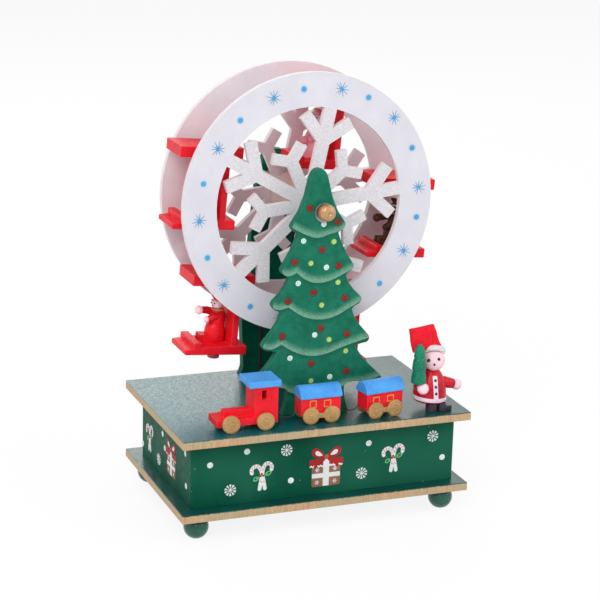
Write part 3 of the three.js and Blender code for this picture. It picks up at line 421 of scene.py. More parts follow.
class Paint:
    """Node material with the object's millimetres at hand."""

    def __init__(self, name):
        self.material = bpy.data.materials.new(name)
        self.material.use_nodes = True
        self.tree = self.material.node_tree
        self.shader = self.tree.nodes["Principled BSDF"]
        scaled = self.node("ShaderNodeVectorMath", operation="SCALE")
        scaled.inputs["Scale"].default_value = 1 / MM
        self.put(self.node("ShaderNodeTexCoord").outputs["Object"], scaled.inputs[0])
        self.mm = scaled.outputs[0]
        self.x, self.y, self.z = self.parts(self.mm)
        self.heights = []

    def node(self, kind, **settings):
        return add_node(self.tree, kind, **settings)

    def put(self, value, socket):
        value = value.socket if isinstance(value, Value) else value
        if isinstance(value, bpy.types.NodeSocket):
            self.tree.links.new(value, socket)
        else:
            socket.default_value = value

    def parts(self, source, kind="ShaderNodeSeparateXYZ"):
        split = self.node(kind)
        self.put(source, split.inputs[0])
        return [Value(self, output) for output in split.outputs]

    def math(self, operation, *values):
        made = self.node("ShaderNodeMath", operation=operation)
        for value, socket in zip(values, made.inputs):
            self.put(value, socket)
        return Value(self, made.outputs[0])

    def noise(self, scale, detail=3.0, rough=0.55, stretch=(1, 1, 1)):
        """Noise of that many waves per millimetre along each axis."""
        made = self.node("ShaderNodeTexNoise", values={"Scale": 1.0, "Detail": detail, "Roughness": rough})
        place = self.node("ShaderNodeVectorMath", operation="MULTIPLY")
        self.put(self.mm, place.inputs[0])
        self.put(tuple(scale * s for s in stretch), place.inputs[1])
        self.put(place.outputs[0], made.inputs["Vector"])
        return Value(self, made.outputs["Fac"])

    def cells(self, scale):
        made = self.node("ShaderNodeTexVoronoi", values={"Scale": scale})
        self.put(self.mm, made.inputs["Vector"])
        return made.outputs

    def mix(self, share, *shades):
        """Between two colours. Each is written, or another mix."""
        made = self.node("ShaderNodeMix", data_type="RGBA")
        self.put(share, made.inputs[0])
        for shade, socket in zip(shades, made.inputs[6:8]):
            self.put(colour(*shade) if isinstance(shade, tuple) else shade, socket)
        return made.outputs[2]

    def tone(self):
        return Value(self, self.node("ShaderNodeAttribute", attribute_name="tone").outputs["Fac"])

    def normal(self):
        """The surface's own direction, with the piece at rest."""
        return self.parts(self.node("ShaderNodeTexCoord").outputs["Normal"])

    def edge(self, radius=0.6):
        """1 at sharp edges and 0 on open faces."""
        bevel = self.node("ShaderNodeBevel", samples=6, values={"Radius": radius * MM})
        same = self.node("ShaderNodeVectorMath", operation="DOT_PRODUCT")
        self.put(bevel.outputs[0], same.inputs[0])
        self.put(self.node("ShaderNodeNewGeometry").outputs["True Normal"], same.inputs[1])
        return (1.0 - Value(self, same.outputs["Value"])).between(0.02, 0.16)

    def raise_by(self, height, distance):
        self.heights.append((height, distance))

    def done(self, base, **sockets):
        self.put(base, self.shader.inputs["Base Color"])
        last = None
        for height, distance in self.heights:
            bump = self.node("ShaderNodeBump", values={"Strength": 1.0, "Distance": distance * MM})
            self.put(height, bump.inputs["Height"])
            if last:
                self.put(last, bump.inputs["Normal"])
            last = bump.outputs[0]
        for name in ("Normal", "Coat Normal"):
            self.put(last, self.shader.inputs[name])
        for name, value in sockets.items():
            self.put(value, self.shader.inputs[name.replace("_", " ")])
        return self.material


def mottled(paint, base, dark, light, scale=0.08, fine=1.3):
    """A painted colour that drifts a little darker and lighter, with a fine brushed grain in it."""
    drift = paint.noise(scale, 4.0).between(0.35, 0.68)
    grain = paint.noise(fine, 2.0).between(0.38, 0.66, 0.0, 0.35)
    return paint.mix(grain, paint.mix(drift, dark, base), light)


def enamel(name, *shades, rough=0.42, coat=0.06, worn_and_highlit=None, peel=0.02, grain=(1, 1, 1), shine=0.22,
           marked=None):
    """Brushed enamel on wood in a base, dark and light shade. Edges may be lighter, partly from worn paint
    and partly as a painted highlight, and toned shells marked.
    """
    paint = Paint(name)
    tint = mottled(paint, *shades)
    # Lighter edges: partly worn paint, partly a painted highlight where the rims catch the light.
    if worn_and_highlit:
        tint = paint.mix(paint.edge() * paint.noise(0.9).between(0.42, 0.6), tint, worn_and_highlit)
    if marked:
        tint = paint.mix(paint.tone(), tint, marked)
    paint.raise_by(paint.noise(0.9, stretch=grain), peel * 2)
    paint.raise_by(paint.noise(3.2, 2.0), peel * 0.6)
    roughness = paint.noise(0.5).between(0.3, 0.7, rough * 0.8, rough * 1.25)
    return paint.done(tint, Roughness=roughness, Specular_IOR_Level=shine, Coat_Weight=coat,
                      Coat_Roughness=0.12)


def fluff():
    paint = Paint("white_fluff")
    tuft = paint.noise(1.6, 4.0, 0.7)
    paint.raise_by(tuft, 0.5)
    paint.raise_by(paint.noise(5.0), 0.12)
    tint = paint.mix(tuft.between(0.3, 0.6), (222, 212, 216), (248, 242, 246))
    return paint.done(tint, Roughness=0.95, Specular_IOR_Level=0.1, Sheen_Weight=0.2, Sheen_Roughness=0.4)


def felt():
    paint = Paint("red_felt")
    fibre = paint.noise(2.6, 4.0, 0.7)
    tuft = paint.noise(0.5)
    paint.raise_by(fibre, 0.16)
    paint.raise_by(tuft, 0.25)
    tint = paint.mix(fibre.between(0.35, 0.65), (234, 14, 38), (255, 50, 68))
    tint = paint.mix(tuft.between(0.4, 0.7, 0.0, 0.45), tint, (200, 6, 30))
    return paint.done(tint, Roughness=0.9, Specular_IOR_Level=0.1, Sheen_Weight=0.12, Sheen_Roughness=0.5,
                      Sheen_Tint=colour(255, 150, 150))


def box_green():
    paint = Paint("box_green_enamel")
    tint = mottled(paint, (4, 84, 62), (0, 66, 48), (26, 102, 80), scale=0.04, fine=1.6)
    tint = paint.mix(paint.noise(0.016, 2.0).between(0.42, 0.62, 0.0, 0.6), tint, (34, 104, 82))
    speck = Value(paint, paint.cells(0.11)["Distance"])
    tint = paint.mix(speck.between(0.03, 0.06, 0.4, 0.0), tint, (150, 190, 168))
    paint.raise_by(paint.noise(0.35, stretch=(1, 1, 0.3)), 0.05)
    paint.raise_by(paint.noise(2.2, 2.0), 0.03)
    return paint.done(tint, Roughness=paint.noise(0.3).between(0.3, 0.7, 0.38, 0.55), Specular_IOR_Level=0.07)


def plank():
    """Green varnish above and below, drawn over the rim, and a copper-gold line of sawn wood at the edge."""
    paint = Paint("plank_green_and_gold")
    edge_x = PLANK_HALF_X - abs(paint.x)
    edge_y = PLANK_HALF_Y - abs(paint.y - PLANK_MIDDLE_Y)
    flat = abs(paint.normal()[2]).between(0.5, 0.8)
    ragged = paint.noise(0.7, 4.0, 0.65)
    inside = paint.math("MINIMUM", edge_x, edge_y) - ragged.between(0.55, 0.75, -0.3, 1.1)
    below = paint.math("MINIMUM", abs(paint.z - DECK_Z), abs(paint.z - LOW_PLANK_TOP))
    lapped = (ragged.between(0.35, 0.62, 0.75, 0.3) - below).between(-0.1, 0.1)
    green = mottled(paint, (4, 76, 66), (0, 58, 52), (40, 104, 96), scale=0.05)
    saw = paint.noise(1.0, 4.0, 0.7, stretch=(2.4, 2.4, 0.12))
    gold = paint.mix(saw.between(0.32, 0.7), (174, 134, 96), (222, 188, 150))
    gold = paint.mix(paint.noise(0.05).between(0.4, 0.65, 0.0, 0.6), gold, (172, 166, 134))
    gold = paint.mix(paint.noise(1.4).between(0.62, 0.72) * 0.5, gold, (92, 86, 58))
    shown = paint.math("MAXIMUM", flat * inside.between(-0.12, 0.12), lapped)
    paint.raise_by(saw * (1.0 - flat), 0.08)
    paint.raise_by(paint.noise(0.42) * flat, 0.08)
    paint.raise_by(paint.noise(0.9, 3.0, 0.65, stretch=(0.7, 1.2, 1)) * flat, 0.14)
    # Painted reflection: the deck's green top turns teal towards its left end, standing in for the bright
    # surroundings mirrored in the varnish.
    painted_reflection = paint.x.between(-80.0, 40.0, 0.75, 0.0) * paint.z.between(30.0, 50.0)
    tint = paint.mix(shown, gold, paint.mix(painted_reflection, green, (0, 104, 112)))
    away = paint.y.between(-68.0, 20.0, 0.5, 1.0) * paint.x.between(-10.0, 85.0, 1.0, 0.5)
    blotch = paint.noise(0.35).between(0.3, 0.6, 0.85, 1.0)
    streaks = paint.noise(0.8, 2.0, 0.6, stretch=(1.2, 0.6, 1)).between(0.42, 0.58, 0.55, 1.0)
    gloss = away * (blotch * shown) * streaks
    return paint.done(tint, Roughness=shown.between(0.0, 1.0, 0.55, 0.32), Specular_IOR_Level=0.2,
                      Coat_Weight=gloss, Coat_Roughness=0.12, Coat_IOR=1.85)


# Lower edges of the tree's painted tiers, as (x, z), and where two scallops meet
TIERS = [
    [(-20.0, 178.9), (-10.7, 173.3), (-2.0, 170.1), (6.1, 171.8), (13.5, 173.8), (20.0, 177.5)],
    [(-27.0, 151.8), (-19.1, 148.3), (-13.8, 149.9), (-8.2, 145.5), (-1.0, 143.1), (7.2, 143.9),
     (15.3, 147.3), (25.0, 151.5)],
    [(-33.0, 134.6), (-25.6, 128.8), (-18.4, 129.6), (-9.5, 123.6), (0.2, 120.8), (11.0, 122.0),
     (19.3, 126.0), (30.0, 131.5)],
    [(-37.0, 109.4), (-30.3, 105.0), (-22.0, 107.1), (-13.6, 101.9), (-5.2, 99.1), (5.7, 99.3), (15.3, 102.3),
     (25.0, 105.0), (36.0, 107.4)],
    [(-44.0, 83.0), (-34.0, 78.6), (-24.0, 81.6), (-14.0, 76.6), (-4.0, 74.4), (8.0, 75.0), (18.7, 78.6),
     (30.0, 79.6), (44.0, 83.0)],
]
SCALLOPS_MEET = (-13.8, -18.4, -22.0, -24.0)
TREE_SPAN_X = 46.0
TREE_LOW_Z, TREE_HIGH_Z = 60.0, 215.0


def tier_height(paint, tier):
    """How far a point lies above a tier's painted lower edge."""
    curve = paint.node("ShaderNodeFloatCurve")
    line = curve.mapping.curves[0]
    while len(line.points) < len(tier):
        line.points.new(0.5, 0.5)
    for point, (x, z) in zip(line.points, tier):
        across = (x + TREE_SPAN_X) / (2 * TREE_SPAN_X)
        point.location = (across, (z - TREE_LOW_Z) / (TREE_HIGH_Z - TREE_LOW_Z))
        point.handle_type = "VECTOR" if x in SCALLOPS_MEET else "AUTO"
    curve.mapping.update()
    paint.put(paint.math("MULTIPLY_ADD", paint.x, 1 / (2 * TREE_SPAN_X), 0.5), curve.inputs["Value"])
    return paint.z - paint.math("MULTIPLY_ADD", curve.outputs[0], TREE_HIGH_Z - TREE_LOW_Z, TREE_LOW_Z)


def tree_green():
    paint = Paint("tree_green_paint")
    tint = mottled(paint, (8, 110, 84), (0, 90, 68), (50, 134, 106), scale=0.09, fine=2.2)
    tint = paint.mix(paint.noise(0.22, 4.0, 0.6).between(0.42, 0.62, 0.0, 0.6), tint, (36, 122, 98))
    ragged = paint.math("MULTIPLY_ADD", paint.noise(0.8), 2.0, -1.0)
    speckle = paint.noise(2.0, 3.0, 0.65).between(0.36, 0.6, 0.25, 1.0)
    face = (paint.normal()[1] * -1.0).between(0.6, 0.9)
    lights, painted_shade_below, steps = [], [], []
    for tier in TIERS:
        above = tier_height(paint, tier)
        crisp = above.between(-0.15, 0.15)
        lights.append(crisp * (above + ragged).between(0.4, 5.6, 1.0, 0.0, smooth=True))
        painted_shade_below.append(above.between(-3.0, 0.0) * (1.0 - crisp))
        steps.append(crisp * above.between(0.0, 6.0, 1.0, 0.0))

    def most(values):
        whole = values[0]
        for value in values[1:]:
            whole = paint.math("MAXIMUM", whole, value)
        return whole * face

    # Painted shade: a darker band just under each tier's raised lower edge.
    tint = paint.mix(most(painted_shade_below) * 0.45, tint, (4, 74, 54))
    tint = paint.mix(most(lights) * speckle * 0.66, tint, (158, 204, 178))
    # Lighter rims: partly rubbed paint, partly a painted highlight along the board's edges.
    rubbed_and_highlit_edge = paint.edge(0.7) * paint.noise(0.7).between(0.35, 0.6, 0.15, 0.6)
    tint = paint.mix(rubbed_and_highlit_edge, tint, (100, 170, 140))
    paint.raise_by(most(steps), 0.3)
    paint.raise_by(paint.noise(0.9), 0.06)
    paint.raise_by(paint.noise(3.4, 2.0), 0.03)
    return paint.done(tint, Roughness=paint.noise(0.5).between(0.3, 0.7, 0.42, 0.58), Specular_IOR_Level=0.12)


def disc_white(name, glitters, *shades):
    """Satin white paint, with glitter over the snowflake of the front disc."""
    paint = Paint(name)
    tint = mottled(paint, *shades, scale=0.05, fine=1.8)
    normal = paint.normal()
    cut = 1.0 - abs(normal[1]).between(0.3, 0.6)
    ply = paint.noise(1.0, stretch=(0.3, 3.2, 0.3))
    layers = paint.mix(ply.between(0.35, 0.65), (232, 220, 218), (246, 240, 242))
    tint = paint.mix(cut * 0.75, tint, layers)
    paint.raise_by(paint.noise(0.6), 0.05)
    paint.raise_by(paint.noise(2.6, 2.0), 0.02)
    if not glitters:
        return paint.done(tint, Roughness=0.5, Specular_IOR_Level=0.3)
    away_x, away_z = paint.x - WHEEL_X, paint.z - WHEEL_Z
    radius = paint.math("SQRT", away_x * away_x + away_z * away_z)
    soft = paint.math("MULTIPLY_ADD", paint.noise(1.2), 2.4, -1.2)
    snow = (radius + soft).between(RING_INNER_RADIUS - 0.8, RING_INNER_RADIUS + 0.4, 1.0, 0.0)
    snow = snow * (normal[1] * -1.0).between(0.5, 0.8)
    chance, hue, lift = paint.parts(paint.cells(2.6)["Color"], "ShaderNodeSeparateColor")
    grain = paint.mix(chance, (204, 202, 206), (242, 240, 245))
    grain = paint.mix(hue.between(0.86, 0.92) * 0.3, grain, (226, 178, 196))
    grain = paint.mix(hue.between(0.0, 0.12, 1.0, 0.0) * 0.35, grain, (206, 192, 170))
    grain = paint.mix(abs(hue - 0.5).between(0.0, 0.05, 1.0, 0.0) * 0.3, grain, (186, 214, 214))
    tint = paint.mix(snow * 0.85, tint, grain)
    paint.raise_by(lift * snow, 0.1)
    return paint.done(tint, Roughness=snow.between(0.0, 1.0, 0.5, 0.35), Specular_IOR_Level=0.3,
                      Metallic=chance.between(0.8, 0.9) * (snow * 0.3))


def raw_wood(name, base, dark, light):
    paint = Paint(name)
    fibre = paint.noise(1.0, 5.0, 0.65, stretch=(1.4, 0.08, 1.4))
    tint = paint.mix(fibre.between(0.3, 0.7), dark, light)
    tint = paint.mix(paint.noise(0.1).between(0.3, 0.7), tint, base)
    paint.raise_by(fibre, 0.08)
    return paint.done(tint, Roughness=0.6)


def bead_wood():
    """A turned bead under thin gold paint, darker where the lathe cut across the grain."""
    paint = Paint("gold_bead")
    rings = paint.noise(1.0, stretch=(0.4, 2.6, 0.4))
    tint = paint.mix(rings.between(0.35, 0.65), (176, 118, 70), (222, 174, 122))
    tint = paint.mix(paint.tone() * 0.7, tint, (178, 142, 92))
    paint.raise_by(rings, 0.06)
    paint.raise_by(paint.noise(2.0), 0.03)
    return paint.done(tint, Roughness=0.3, Metallic=0.35, Coat_Weight=0.5, Coat_Roughness=0.12)


def metal(name, base, dark, rough):
    paint = Paint(name)
    scratch = paint.noise(1.0, 4.0, 0.7, stretch=(3.0, 0.3, 3.0))
    tint = paint.mix(scratch.between(0.3, 0.7), dark, base)
    paint.raise_by(scratch, 0.02)
    roughness = paint.noise(0.8).between(0.3, 0.7, rough * 0.7, rough * 1.4)
    return paint.done(tint, Roughness=roughness, Metallic=1.0)


def rubber():
    paint = Paint("black_rubber")
    dust = paint.noise(1.2, 4.0)
    paint.raise_by(dust, 0.05)
    return paint.done(paint.mix(dust.between(0.4, 0.75), (26, 26, 28), (54, 54, 58)), Roughness=0.75)


PRINTS = {
    "white": ((232, 236, 236), (212, 220, 218), (246, 247, 247)),
    "red": ((174, 38, 34), (146, 24, 26), (198, 62, 52)),
    "brown": ((156, 106, 82), (132, 86, 64), (176, 128, 102)),
    "leaf": ((122, 210, 136), (96, 188, 110), (152, 224, 158)),
    "pink": ((220, 126, 138), (204, 104, 118), (232, 150, 158)),
    "blue": ((86, 168, 214), (66, 148, 200), (116, 188, 226)),
    "pale_blue": ((190, 212, 234), (174, 200, 228), (206, 222, 238)),
}


def make_materials():
    made = {
        "red": enamel("red_enamel", (244, 20, 42), (216, 8, 28), (254, 56, 66), worn_and_highlit=(255, 112, 106),
                      peel=0.04, shine=0.16),
        "dusty_red": enamel("dusty_red_underside", (210, 96, 100), (186, 70, 76), (226, 124, 124)),
        "rider_red": enamel("rider_red_enamel", (240, 14, 34), (190, 2, 18), (252, 52, 62), rough=0.34,
                            coat=0.1, peel=0.05, shine=0.16),
        "train_red": enamel("train_red_enamel", (246, 22, 44), (218, 8, 30), (255, 58, 64),
                            worn_and_highlit=(252, 110, 100), peel=0.03, shine=0.16),
        "robe_red": enamel("robe_red_enamel", (216, 12, 42), (160, 2, 26), (236, 40, 60), rough=0.3,
                           coat=0.12, peel=0.03, shine=0.16),
        "blue": enamel("blue_enamel", (82, 166, 240), (56, 142, 224), (118, 188, 250), worn_and_highlit=(150, 208, 252),
                       peel=0.03, shine=0.16),
        "gold": enamel("gold_wood_paint", (190, 148, 92), (154, 114, 70), (216, 178, 120),
                       worn_and_highlit=(232, 198, 140), coat=0.1, peel=0.05),
        "black": enamel("black_boot_paint", (60, 54, 66), (34, 30, 38), (100, 94, 108), worn_and_highlit=(120, 118, 128),
                        rough=0.32, coat=0.2),
        "skin": enamel("skin_paint", (255, 222, 230), (250, 202, 214), (255, 242, 246), coat=0.1, peel=0.012),
        "pink": enamel("pink_robe_paint", (236, 156, 170), (222, 126, 146), (246, 190, 196)),
        "brown": enamel("brown_robe_paint", (84, 50, 36), (56, 32, 24), (116, 76, 56), peel=0.03),
        "small_green": enamel("small_tree_paint", (0, 128, 96), (0, 92, 68), (56, 174, 138),
                              worn_and_highlit=(96, 190, 154), rough=0.26, coat=0.25, peel=0.08, shine=0.12),
        "red_dot": enamel("red_dot_paint", (154, 30, 26), (118, 16, 18), (182, 56, 44), coat=0.1,
                          marked=(112, 26, 22)),
        "dot_rim": enamel("dot_rim_paint", (12, 82, 60), (6, 66, 48), (34, 104, 78), coat=0.0),
        "white_dot": enamel("white_dot_paint", (228, 242, 236), (204, 228, 218), (246, 250, 248), coat=0.1,
                            marked=(164, 202, 186)),
        "trim": enamel("white_trim_paint", (236, 230, 238), (218, 206, 220), (248, 246, 250), coat=0.1),
        "lime_dot": enamel("lime_dot_paint", (160, 198, 92), (126, 170, 70), (196, 220, 134), coat=0.1,
                           marked=(206, 228, 150)),
        "yellow_line": enamel("yellow_line_paint", (232, 170, 74), (212, 142, 56), (246, 196, 108)),
        "dark_dot": enamel("dark_dot_paint", (26, 18, 26), (12, 8, 14), (56, 44, 54), rough=0.25, coat=0.4,
                           peel=0.01),
        "foot_green": enamel("foot_green_enamel", (16, 96, 78), (6, 70, 56), (66, 132, 116),
                             worn_and_highlit=(110, 152, 138), rough=0.26, coat=0.45, peel=0.03),
        # The post's green is lighter than the walls': painted light that lifts the shade the wheel casts on
        # it.
        "post_green": enamel("post_green_enamel_painted_light", (4, 104, 80), (2, 84, 62), (24, 126, 98),
                             worn_and_highlit=(72, 140, 114), coat=0.0, peel=0.03, grain=(1, 1, 0.2), shine=0.06),
        "fluff": fluff(),
        "felt": felt(),
        "box_green": box_green(),
        "plank": plank(),
        "tree": tree_green(),
        "front_disc": disc_white("front_disc_white", True, (221, 219, 227), (212, 210, 219), (231, 230, 237)),
        # The rear disc's white is lighter and pinker than the front's: painted light that lifts the shade
        # inside the wheel, and a painted pink reflection of the red gondolas.
        "rear_disc": disc_white("rear_disc_white_painted_light", False, (230, 225, 231), (218, 212, 219), (239, 235, 240)),
        "hub": raw_wood("hub_pale_wood", (234, 222, 214), (210, 188, 172), (244, 236, 232)),
        "bead": bead_wood(),
        "steel": metal("brushed_steel", (178, 178, 184), (120, 118, 124), 0.3),
        "dark_steel": metal("dark_steel", (92, 88, 90), (52, 48, 50), 0.42),
        "brass": metal("yellow_brass", (206, 168, 88), (150, 112, 52), 0.28),
        "rubber": rubber(),
    }
    for tint, shades in PRINTS.items():
        made[f"{tint}_print"] = enamel(f"{tint}_print", *shades, rough=0.5, coat=0.0, peel=0.01)
    return made


# Camera, lamps and floor
CAMERA_PLACE = (-401.109, -1025.910, 435.631)
CAMERA_RIGHT = (0.93203624, -0.36138743, 0.02660013)
CAMERA_UP = (0.07548275, 0.2654215, 0.96117313)
CAMERA_FORWARD = (0.35441613, 0.89384034, -0.27466097)
CAMERA_LENS = 113.744
CAMERA_SENSOR = 36.0
FLOOR_HALF = 9000.0
WORLD_FILL = 0.53
FLOOR_GLOW = 0.86
LAMP_TARGET = (0.0, 0.0, 110.0)
LAMPS = {
    "key": ((-900.0, -1100.0, 1300.0), (1200.0, 1200.0), 18.0),
    "fill": ((1300.0, -900.0, 900.0), (1400.0, 1200.0), 7.0),
    "back": ((200.0, 1400.0, 1100.0), (1600.0, 900.0), 7.0),
}


def make_camera():
    data = bpy.data.cameras.new("camera")
    data.lens = CAMERA_LENS
    data.sensor_width = CAMERA_SENSOR
    data.clip_start = 0.01
    data.clip_end = 100.0
    camera = bpy.data.objects.new("camera", data)
    turn = Matrix([Vector(CAMERA_RIGHT), Vector(CAMERA_UP), -Vector(CAMERA_FORWARD)]).transposed().to_4x4()
    camera.matrix_world = Matrix.Translation(Vector(CAMERA_PLACE) * MM) @ turn
    bpy.context.scene.collection.objects.link(camera)
    bpy.context.scene.camera = camera


def make_lamps():
    for name, (place, size, power) in LAMPS.items():
        data = bpy.data.lights.new(name, "AREA")
        data.shape = "RECTANGLE"
        data.size, data.size_y = (side * MM for side in size)
        data.energy = power
        lamp = bpy.data.objects.new(name, data)
        lamp.location = Vector(place) * MM
        lamp.rotation_mode = "QUATERNION"
        lamp.rotation_quaternion = (Vector(LAMP_TARGET) - Vector(place)).to_track_quat("-Z", "Y")
        bpy.context.scene.collection.objects.link(lamp)


def show_by_ray(owner, output_kind, lit, seen, seen_share=None):
    """Gives light one shader, and the camera, reflections and glass another, or a share of it."""
    owner.use_nodes = True
    tree = owner.node_tree
    tree.nodes.clear()
    rays = add_node(tree, "ShaderNodeLightPath").outputs
    share = rays["Is Camera Ray"]
    steps = [("MAXIMUM", rays["Is Glossy Ray"]), ("MAXIMUM", rays["Is Transmission Ray"])]
    if seen_share:
        steps.append(("MULTIPLY", seen_share))
    for operation, second in steps:
        made = add_node(tree, "ShaderNodeMath", operation=operation)
        tree.links.new(share, made.inputs[0])
        if isinstance(second, float):
            made.inputs[1].default_value = second
        else:
            tree.links.new(second, made.inputs[1])
        share = made.outputs[0]
    mixed = add_node(tree, "ShaderNodeMixShader")
    shaders = [add_node(tree, kind, values).outputs[0] for kind, values in (lit, seen)]
    for source, socket in zip([share, *shaders], mixed.inputs):
        tree.links.new(source, socket)
    tree.links.new(mixed.outputs[0], add_node(tree, output_kind).inputs[0])


def make_stage():
    world = bpy.data.worlds.new("studio")
    bpy.context.scene.world = world
    white = (1.0, 1.0, 1.0, 1.0)
    show_by_ray(world, "ShaderNodeOutputWorld",
                ("ShaderNodeBackground", {"Color": white, "Strength": WORLD_FILL}),
                ("ShaderNodeBackground", {"Color": white, "Strength": 1.0}))
    material = bpy.data.materials.new("floor_white")
    show_by_ray(material, "ShaderNodeOutputMaterial",
                ("ShaderNodeBsdfDiffuse", {"Color": (0.9, 0.9, 0.9, 1.0)}),
                ("ShaderNodeEmission", {"Strength": 1.02}), FLOOR_GLOW)
    mesh = bpy.data.meshes.new("floor")
    side = FLOOR_HALF * MM
    mesh.from_pydata([(x, y, 0.0) for x, y in box_outline(-side, -side, side, side)], [], [[0, 1, 2, 3]])
    mesh.materials.append(material)
    floor = bpy.data.objects.new("floor", mesh)
    bpy.context.scene.collection.objects.link(floor)


# Box
FOOT_RADIUS, FOOT_CENTRE = 7.4, 6.8
FOOT_STEPS = 18


def make_feet():
    for place in ("front_left", "front_right", "rear_left", "rear_right"):
        node = f"{place}_foot"
        lowest, highest = low(node), high(node)
        middle = (lowest + highest) / 2
        height = highest.z - lowest.z
        profile = [(0.0, 0.0), (2.6, 0.0), (3.0, 0.12)]
        start, stop = (math.asin((z - FOOT_CENTRE) / FOOT_RADIUS) for z in (0.2, height - 0.25))
        for step in range(FOOT_STEPS + 1):
            across, up = polar(FOOT_RADIUS, start + (stop - start) * step / FOOT_STEPS)
            profile.append((across, FOOT_CENTRE + up))
        profile += [(2.6, height), (0.0, height)]
        shells = Shells().lathe(profile, at(middle.x, middle.y, lowest.z))
        piece(f"{place}_ball_foot", "base", "foot_green", shells, stands_for=[node])


# Where the walls' prints are. On the left wall, across runs from the front corner to the back
WALL_PRINTS = {
    "front": {
        "dots": [(-71.0, 44.5), (-48.6, 50.4), (-21.0, 29.4), (27.9, 47.3), (76.5, 33.1)],
        "flakes": [(-58.5, 27.7), (-24.1, 48.6), (23.9, 28.8), (69.6, 47.3)],
        "canes": [(-39.2, 33.6), (44.1, 35.6)],
        "parcel": (1.0, 35.6), "parcel_scale": 1.0,
    },
    "left": {
        "dots": [(5.0, 45.5), (-35.4, 25.3), (9.6, 38.0), (48.9, 48.8), (50.8, 29.4)],
        "flakes": [(-2.2, 26.7)],
        "canes": [(-21.1, 33.5)],
        "parcel": (22.4, 36.0), "parcel_scale": 0.88,
    },
}
PRINT_SLOTS = {"white": "white", "red": "red", "brown": "brown", "leaf": "tree_green", "pink": "pink"}
DOT_RADIUS = 1.85
FLAKE_ARMS = 10
FLAKE_REACHES = [(0.3, 0.9), (1.9, 0.36), (2.4, 0.5), (3.1, 0.66), (3.6, 0.56)]  # and the arm's share there
CANES = [
    [(-6.2, 3.0), (-6.4, 4.9), (-5.0, 6.7), (-2.9, 7.0), (-1.2, 5.5), (-0.2, 3.0), (0.9, -1.6), (2.0, -7.2)],
    [(5.9, 4.3), (6.0, 6.2), (4.6, 8.0), (2.6, 8.1), (1.1, 6.3), (0.4, 3.4), (-0.4, -1.6), (-1.3, -7.2)],
]
CANE_WIDTH = 2.3
LEAF_WIDTH = 1.35
PARCEL_BLOCKS = [  # tint, height in times PROUD, outline
    ("brown", 1, (-9.0, -12.0, 9.0, 1.0, 1.0)),
    ("red", 1.3, (-10.6, 0.6, 10.6, 5.2, 1.0)),
    ("white", 1.7, (-1.9, -11.9, 1.9, 5.1)),
    ("white", 1.5, (-8.9, -6.6, 8.9, -3.8)),
]


def flake_wedges(shells, place):
    """A round snowflake print: white arms that widen to the rim."""
    half = math.pi / FLAKE_ARMS
    for arm in range(FLAKE_ARMS):
        angle = 2 * math.pi * (arm + 0.5) / FLAKE_ARMS
        outline = [polar(reach, angle - half * share) for reach, share in FLAKE_REACHES]
        outline += [polar(reach, angle + half * share) for reach, share in FLAKE_REACHES[::-1]]
        shells.mark(outline, 1, place)
    shells.mark(round_outline(0.75, sides=14), 1.2, place)


def leaf_loop(base, tip, share):
    """Points round a pointed leaf, drawn in by share."""
    du, dv = tip[0] - base[0], tip[1] - base[1]
    run = math.hypot(du, dv)
    middle = ((base[0] + tip[0]) / 2, (base[1] + tip[1]) / 2)
    points = []
    for side in (1, -1):
        for step in range(7):
            t = step / 7 if side > 0 else 1 - step / 7
            bulge = math.sin(math.pi * t) * LEAF_WIDTH * side * (1.0 + 0.18 * math.cos(6 * math.pi * t))
            u = base[0] + du * t - dv / run * bulge
            v = base[1] + dv * t + du / run * bulge
            points.append((middle[0] + (u - middle[0]) * share, middle[1] + (v - middle[1]) * share))
    return points


def crossing(spot, across, reach):
    """A short line's two ends, on both sides of a spot."""
    return [(spot[0] + across[0] * s, spot[1] + across[1] * s) for s in (-reach, reach)]


def add_cane_print(parts, place):
    for layer, path in enumerate(CANES):
        lift = 1 + 0.6 * layer
        parts["white"].mark(stroke_outline(smooth_path(path), CANE_WIDTH), lift, place)
        fine = smooth_path(path, 5)
        for i in range(3, len(fine) - 2, 4):
            du, dv = run_at(fine, i)
            ends = crossing(fine[i], (-dv + du * 0.6, du + dv * 0.6), 0.75)
            parts["pink"].prism(stroke_outline(ends, 0.45, cap=3), 0.0, PROUD * (lift + 0.5), place)
    for base, tip in (((1.5, 0.9), (6.2, 3.0)), ((-1.7, 0.4), (-5.4, -1.9))):
        parts["leaf"].hoop(leaf_loop(base, tip, 1.0), leaf_loop(base, tip, 0.66), -SUNK, PROUD * 1.9, place)
        vein = [base, ((base[0] + tip[0]) / 2, (base[1] + tip[1]) / 2)]
        parts["leaf"].mark(stroke_outline(vein, 0.35, cap=3), 1.9, place)
    for u, v in ((-0.1, 2.0), (0.75, 0.9), (-0.8, 0.8)):
        parts["red"].drop(round_outline(0.85, u, v, 12), 2.4, place)


